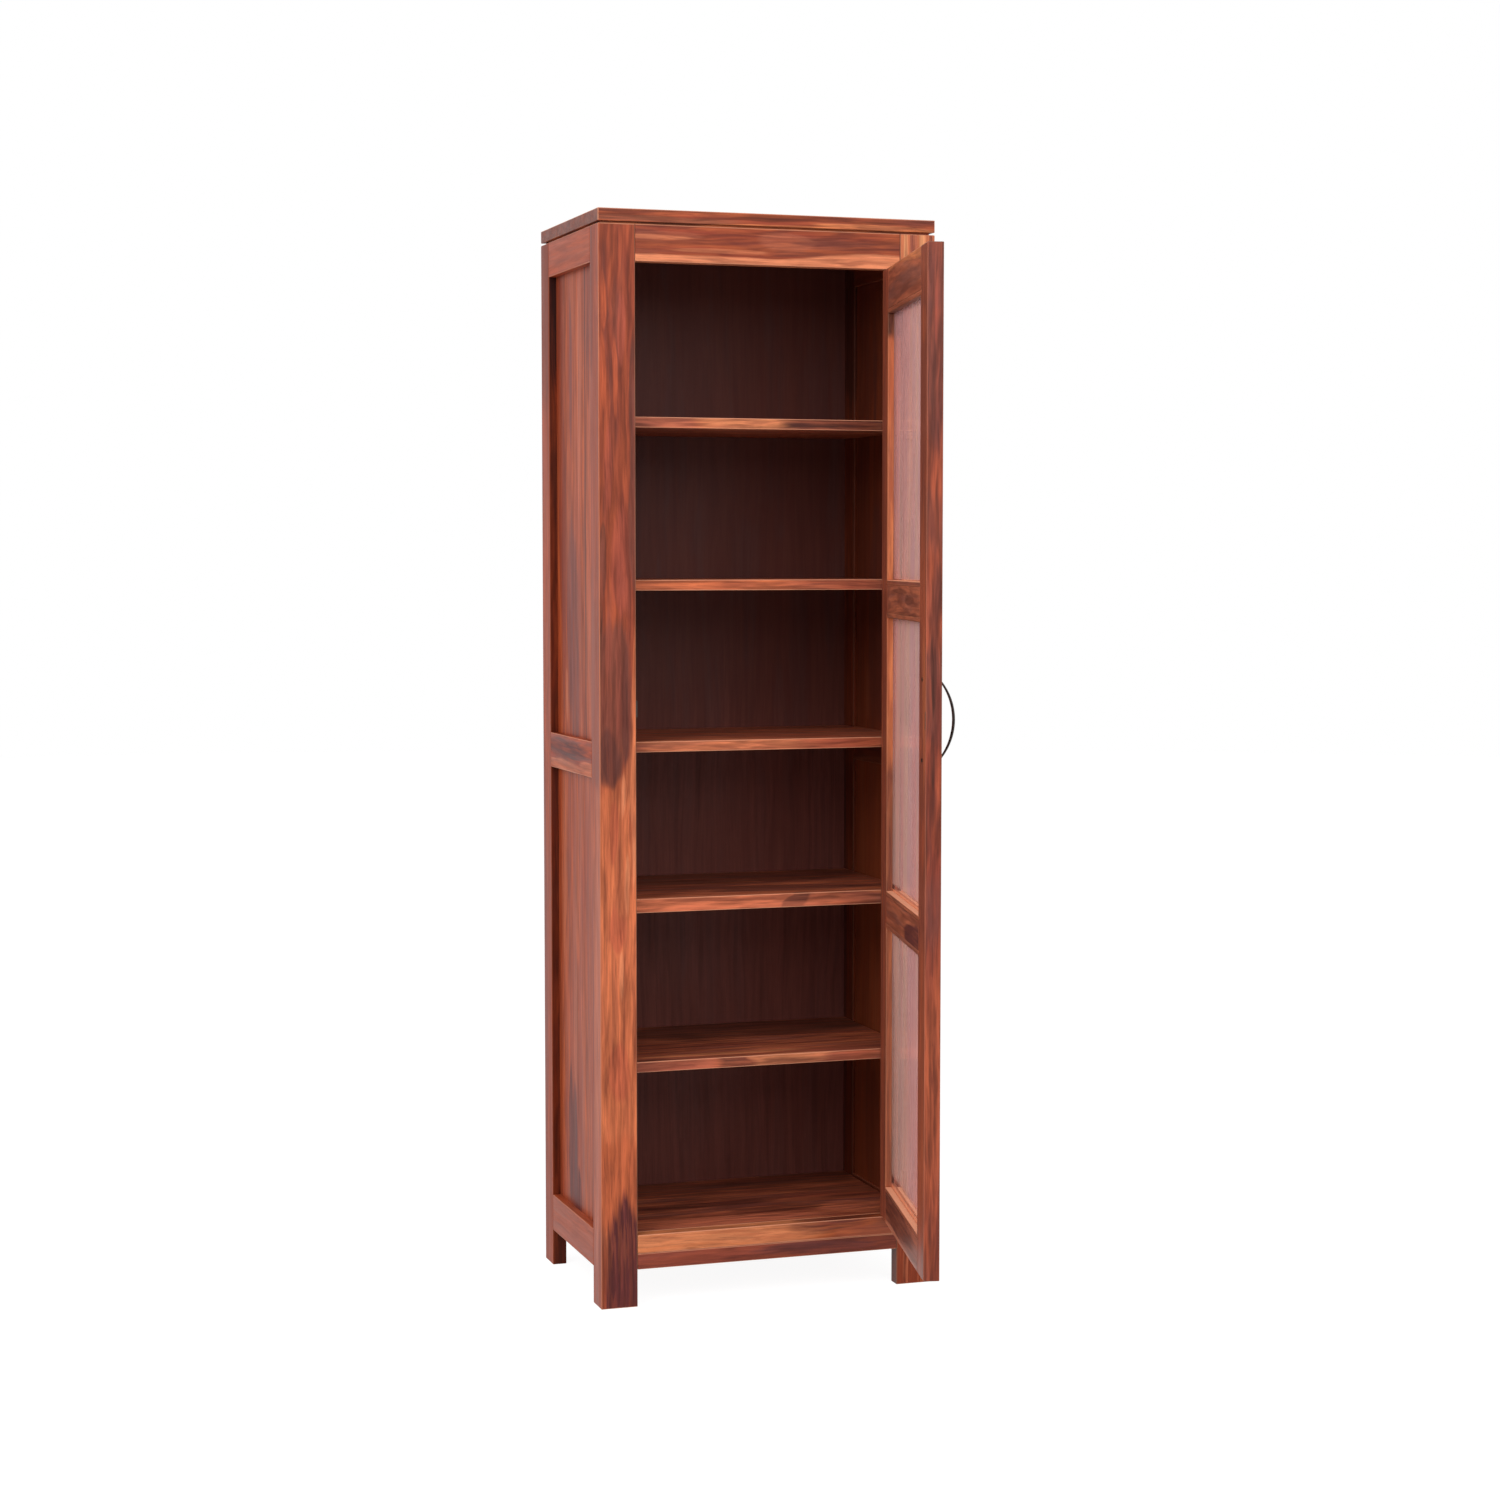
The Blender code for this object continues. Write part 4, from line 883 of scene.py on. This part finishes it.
for number, (rail, figures) in enumerate(DOOR_RAIL_FIGURES.items()):
    timber(
        f"door_{rail}_rail",
        "xzy",
        43.0 + number,
        tones=DOOR_RAIL_TONES,
        figures=figures,
        stains_and_painted_light=() if rail == "top" else PAINTED_HIGHLIGHT_ON_TOP,
        wear_and_highlight=0.3,
        turn=door_turn,
    )


# Glazing beads: square strips of light wood, mitred at the corners and held with pins.
# Their faces match the frame. The bottom beads' upper faces carry a painted highlight and the
# top beads' undersides painted shade. The hinge-side beads are lighter, partly their wood and
# partly painted light, with painted shade down most of the lower one, over the lower half of
# the middle one and at the top of the upper one, under the rail.
# lighter tones, partly the wood and partly painted light
BEAD_WOOD_AND_LIGHT_TONES = (tone(210, 120, 76), tone(184, 94, 60), tone(148, 76, 52), tone(158, 94, 74))
BEADS = {
    "bottom": ("xzy", DOOR_RAIL_TONES, PAINTED_HIGHLIGHT_ON_TOP),
    "top": ("xzy", DOOR_RAIL_TONES, (("z", -1, PAINTED_SHADE, 0.5),)),
    "left": ("zxy", DOOR_TONES, ()),
    "right": ("zxy", BEAD_WOOD_AND_LIGHT_TONES, ()),
}
# painted shade on the hinge-side beads
HINGE_SIDE_SHADE = {
    "lower": ((tone(122, 68, 50), 0.85, ((-0.02, 0.0, 0.22, 0.03),)),),
    "middle": ((tone(112, 59, 45), 1.15, ((-0.17, 0.0, 0.14, 0.03),)),),
    "upper": ((tone(62, 32, 26), 1.2, ((0.225, 0.0, 0.042, 0.03),)),),
}
for number, (pane, hinge_side_shade) in enumerate(HINGE_SIDE_SHADE.items()):
    for row, (side, (order, tones, stains_and_painted_light)) in enumerate(BEADS.items()):
        timber(
            f"{pane}_bead_{side}",
            order,
            51.0 + 4 * number + row,
            tones=tones,
            figures=hinge_side_shade if side == "right" else (),
            stains_and_painted_light=stains_and_painted_light,
            wear_and_highlight=0.2,
            turn=door_turn,
        )


# Panes: float glass with a thin film on it, clear when looked through squarely. At a low angle
# it is veiled, partly by the film and partly by a painted reflection; close above the bottom
# bead the veil thins, and a band of painted reflection of the pale ledge lies there. Each pane
# lies against the lip of its rebate.
GLASS_IOR = 1.5
FILM_SCALE = (30, 30, 2.5)
FILM_ROUGHNESS_SPAN, FILM_ROUGHNESS = (0.35, 0.75), (0.03, 0.10)
FILM_UNEVEN_SPAN, FILM_UNEVEN = (0.3, 0.7), (0.82, 1.18)
WIDE_FILM_SCALE = (13, 13, 0.7)
WARM_VEIL = tone(255, 210, 196)
ROSE_VEIL, ROSE_VEIL_SPAN = tone(255, 190, 190), (0.42, 0.56)
MAUVE_VEIL, MAUVE_VEIL_SPAN, MAUVE_VEIL_SHARE = tone(238, 190, 204), (0.52, 0.64), 0.65
SQUARE_VEIL, SLANT_SPAN = tone(40, 32, 30), (0.50, 0.80)
REFLECTION_VEIL_SPAN, REFLECTION_VEIL = (0.50, 0.88), (0.035, 0.58)
THIN_VEIL_RIMS = {"lower": 0.026, "middle": 0.014, "upper": 0.002}
THIN_VEIL_FROM_SHARE, THINNEST_VEIL = 0.7, 0.15
# a painted reflection of the pale ledge, low on each pane
PAINTED_LEDGE_REFLECTION, LEDGE_REFLECTION_SHARES, LEDGE_REFLECTION_GAIN = tone(255, 160, 120), (0.24, 0.36), 1.7
for pane, thin_rim in THIN_VEIL_RIMS.items():
    glass = bpy.data.materials.new(pane + "_glass_finish")
    glass.use_nodes = True
    tree = glass.node_tree
    shader = tree.nodes["Principled BSDF"]
    shader.inputs["IOR"].default_value = GLASS_IOR
    place = place_node(tree, "TexCoord").outputs["Object"]
    film = noise(tree, place, FILM_SCALE, 3, 2.0).outputs[0]
    wide_film = noise(tree, place, WIDE_FILM_SCALE, 2, 5.0).outputs["Color"]
    bands = place_node(tree, "SeparateXYZ", {0: wide_film}).outputs
    tint = blend(tree, fade(tree, bands[0], *ROSE_VEIL_SPAN), WARM_VEIL, ROSE_VEIL)
    mauve_share = fade(tree, bands[1], *MAUVE_VEIL_SPAN, 0.0, MAUVE_VEIL_SHARE)
    tint = blend(tree, mauve_share, tint, MAUVE_VEIL)
    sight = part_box(f"{pane}_bead_bottom")[1].z
    height = place_node(tree, "SeparateXYZ", {0: place}).outputs[2]
    reflection_start, reflection_end = (sight + share * thin_rim for share in LEDGE_REFLECTION_SHARES)
    ledge_reflection = fade(tree, height, reflection_start, reflection_end, 1.0, 0.0)
    tint = blend(tree, ledge_reflection, tint, PAINTED_LEDGE_REFLECTION)
    facing = place_node(tree, "LayerWeight", {"Blend": 0.5}).outputs["Facing"]
    tint = blend(tree, fade(tree, facing, *SLANT_SPAN), SQUARE_VEIL, tint)
    tree.links.new(tint, shader.inputs["Base Color"])
    rough = fade(tree, film, *FILM_ROUGHNESS_SPAN, *FILM_ROUGHNESS)
    tree.links.new(rough, shader.inputs["Roughness"])
    # the veil at a low angle: partly film, partly a painted reflection
    reflection_veil = fade(tree, facing, *REFLECTION_VEIL_SPAN, *REFLECTION_VEIL)
    uneven = fade(tree, film, *FILM_UNEVEN_SPAN, *FILM_UNEVEN)
    thin_from, thin_to = sight + THIN_VEIL_FROM_SHARE * thin_rim, sight + thin_rim
    thinning = fade(tree, height, thin_from, thin_to, THINNEST_VEIL, 1.0)
    thinning = reckon(tree, "MULTIPLY_ADD", ledge_reflection, LEDGE_REFLECTION_GAIN, thinning)
    veil_share = reckon(tree, "MULTIPLY", reckon(tree, "MULTIPLY", reflection_veil, uneven), thinning)
    tree.links.new(veil_share, shader.inputs["Alpha"])
    dress(nodes[pane + "_glass"], glass)


# Hinges: three brass butt hinges gone dull, let in flush. Three countersunk screws hold
# each leaf to the leg or to the stile.
BRASS = metal("dull_brass", tone(150, 122, 74), tone(96, 74, 44), 0.34)
HINGE_HEAD = ((0.00175, -0.0018), (0.00285, 0.0))
HINGE_SCREW_GAP = 0.026
LEAF_MIDDLE_Y = 0.01325
LEAF_FACE_X = 0.00035
hinge_axis = Vector(frame["joints"][0]["pos_m"][:2] + [0])
door_place = Matrix.Translation(hinge_axis) @ Matrix.Rotation(door_turn, 4, "Z")
door_aim = door_place.to_3x3()
for position in ("lower", "middle", "upper"):
    for part in ("frame_leaf", "door_leaf", "pin"):
        dress(nodes[f"hinge_{position}_{part}"], BRASS)
    low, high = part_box(f"hinge_{position}_frame_leaf")
    heights = [(low.z + high.z) / 2 + step * HINGE_SCREW_GAP for step in (-1, 0, 1)]
    spots = [hinge_axis + Vector((LEAF_FACE_X, LEAF_MIDDLE_Y, height)) for height in heights]
    name = f"hinge_{position}_frame_screws"
    screws(name, "case", BRASS, spots, (-1, 0, 0), HINGE_HEAD)
    spots = [door_place @ Vector((-LEAF_FACE_X, LEAF_MIDDLE_Y, height)) for height in heights]
    name = f"hinge_{position}_door_screws"
    screws(name, "door", BRASS, spots, door_aim @ Vector((1, 0, 0)), HINGE_HEAD)


# Handle: a thin bow of steel with a dark bronze finish, on the lock stile's outer face. Two
# round-headed screws hold it, put through the stile from inside.
DOOR_INNER_Y = 0.0305
STILE_MIDDLE_X = -0.4375
HANDLE_REACH = 0.064
PAN_HEAD = ((0.0034, 0.0), (0.0034, 0.0005), (0.0025, 0.0013))
BRONZE = metal("dark_bronze", tone(64, 54, 50), tone(40, 34, 32), 0.34)
dress(nodes["door_handle"], BRONZE)
low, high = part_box("door_handle")
heights = [(low.z + high.z) / 2 + reach for reach in (-HANDLE_REACH, HANDLE_REACH)]
spots = [door_place @ Vector((STILE_MIDDLE_X, DOOR_INNER_Y, height)) for height in heights]
screws("handle_screws", "door", BRONZE, spots, door_aim @ Vector((0, 1, 0)), PAN_HEAD)


# Catch: a magnet in a dark plastic block, with a flange that two screws hold behind the
# left leg, and a steel plate on the door that it pulls on.
FLANGE_MIDDLE_X = -0.244
FLANGE_THICKNESS = 0.0025
CATCH_SCREW_REACH = 0.0185
STEEL = metal("dull_steel", tone(122, 112, 104), tone(90, 82, 76), 0.46)
dress(nodes["catch_plate"], STEEL)
dress(nodes["door_catch"], metal("dark_plastic", tone(50, 44, 42), tone(40, 35, 34), 0.5, 0.0))
low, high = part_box("door_catch")
heights = [(low.z + high.z) / 2 + reach for reach in (-CATCH_SCREW_REACH, CATCH_SCREW_REACH)]
spots = [Vector((FLANGE_MIDDLE_X, low.y + FLANGE_THICKNESS, height)) for height in heights]
screws("catch_screws", "case", STEEL, spots, (0, 1, 0), PAN_HEAD)


# Bead pins: small steel pins that hold the beads to the frame. They are punched level with
# the wood, three to each side of a pane.
PIN_HEAD = ((0.0008, 0.0), (0.0006, 0.0002))
PIN_SIDES = 8
PIN_INSET = 0.0038
PIN_FROM_CORNER = 0.050
SIGHT_X = (-0.406, -0.064)
for pane in ("lower", "middle", "upper"):
    bottom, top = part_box(f"{pane}_bead_bottom"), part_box(f"{pane}_bead_top")
    low_z, high_z = bottom[0].z + PIN_INSET, top[1].z - PIN_INSET
    left_x, right_x = SIGHT_X[0] - PIN_INSET, SIGHT_X[1] + PIN_INSET
    spots = []
    for share in (0, 0.5, 1):
        x = left_x + PIN_FROM_CORNER + share * (right_x - left_x - 2 * PIN_FROM_CORNER)
        z = low_z + PIN_FROM_CORNER + share * (high_z - low_z - 2 * PIN_FROM_CORNER)
        spots += [(x, DOOR_INNER_Y, low_z), (x, DOOR_INNER_Y, high_z)]
        spots += [(left_x, DOOR_INNER_Y, z), (right_x, DOOR_INNER_Y, z)]
    spots = [door_place @ Vector(spot) for spot in spots]
    aim = door_aim @ Vector((0, 1, 0))
    screws(f"{pane}_bead_pins", "door", ZINC, spots, aim, PIN_HEAD, PIN_SIDES, False)


# The studio: a pale floor, a white surround and three broad soft lamps. The camera, glass
# and glossy surfaces see the floor and the surround brighter than they light the case.
FLOOR_RADIUS = 14
FLOOR_LIT, FLOOR_SEEN, FLOOR_GLOW = 0.8, 0.22, 0.925
SURROUND_LIT, SURROUND_SEEN = 0.50, 1.0
LAMP_TARGET = Vector((0, 0, 1.0))
LAMPS = (
    ("left_lamp", (-3.2, -2.0, 3.0), 2.4, 78),
    ("front_lamp", (-0.6, -4.6, 3.2), 2.6, 76),
    ("right_lamp", (3.2, -2.4, 2.6), 2.2, 24),
)


def seen_directly(tree):
    """1 for rays that come from the camera, or through glass, or off a glossy surface."""
    path = place_node(tree, "LightPath").outputs
    share = reckon(tree, "MAXIMUM", path["Is Camera Ray"], path["Is Glossy Ray"])
    return reckon(tree, "MAXIMUM", share, path["Is Transmission Ray"])


def grey(value):
    """An even grey of that strength."""
    return (value, value, value, 1)


floor_mesh = bpy.data.meshes.new("floor")
floor_shape = bmesh.new()
bmesh.ops.create_circle(floor_shape, cap_ends=True, segments=64, radius=FLOOR_RADIUS)
floor_shape.to_mesh(floor_mesh)
floor_shape.free()
floor = bpy.data.objects.new("floor", floor_mesh)
bpy.context.collection.objects.link(floor)

floor_finish = bpy.data.materials.new("floor_finish")
floor_finish.use_nodes = True
tree = floor_finish.node_tree
tree.nodes.clear()
lit = place_node(tree, "BsdfDiffuse", {"Color": grey(FLOOR_LIT)}).outputs[0]
soft = place_node(tree, "BsdfDiffuse", {"Color": grey(FLOOR_SEEN)}).outputs[0]
glow = place_node(tree, "Emission", {"Color": grey(1), "Strength": FLOOR_GLOW}).outputs[0]
seen = place_node(tree, "AddShader", {0: soft, 1: glow}).outputs[0]
chosen = place_node(tree, "MixShader", {0: seen_directly(tree), 1: lit, 2: seen}).outputs[0]
place_node(tree, "OutputMaterial", {"Surface": chosen})
floor_mesh.materials.append(floor_finish)

world = bpy.data.worlds.new("surround")
bpy.context.scene.world = world
world.use_nodes = True
tree = world.node_tree
strength = fade(tree, seen_directly(tree), 0, 1, SURROUND_LIT, SURROUND_SEEN)
tree.nodes["Background"].inputs["Color"].default_value = grey(1)
tree.links.new(strength, tree.nodes["Background"].inputs["Strength"])

for name, spot, size, power in LAMPS:
    lamp = bpy.data.objects.new(name, bpy.data.lights.new(name, "AREA"))
    lamp.data.size = size
    lamp.data.energy = power
    lamp.location = spot
    aim = LAMP_TARGET - Vector(spot)
    lamp.rotation_euler = aim.to_track_quat("-Z", "Y").to_euler()
    bpy.context.collection.objects.link(lamp)

bpy.context.scene.view_settings.view_transform = "Standard"
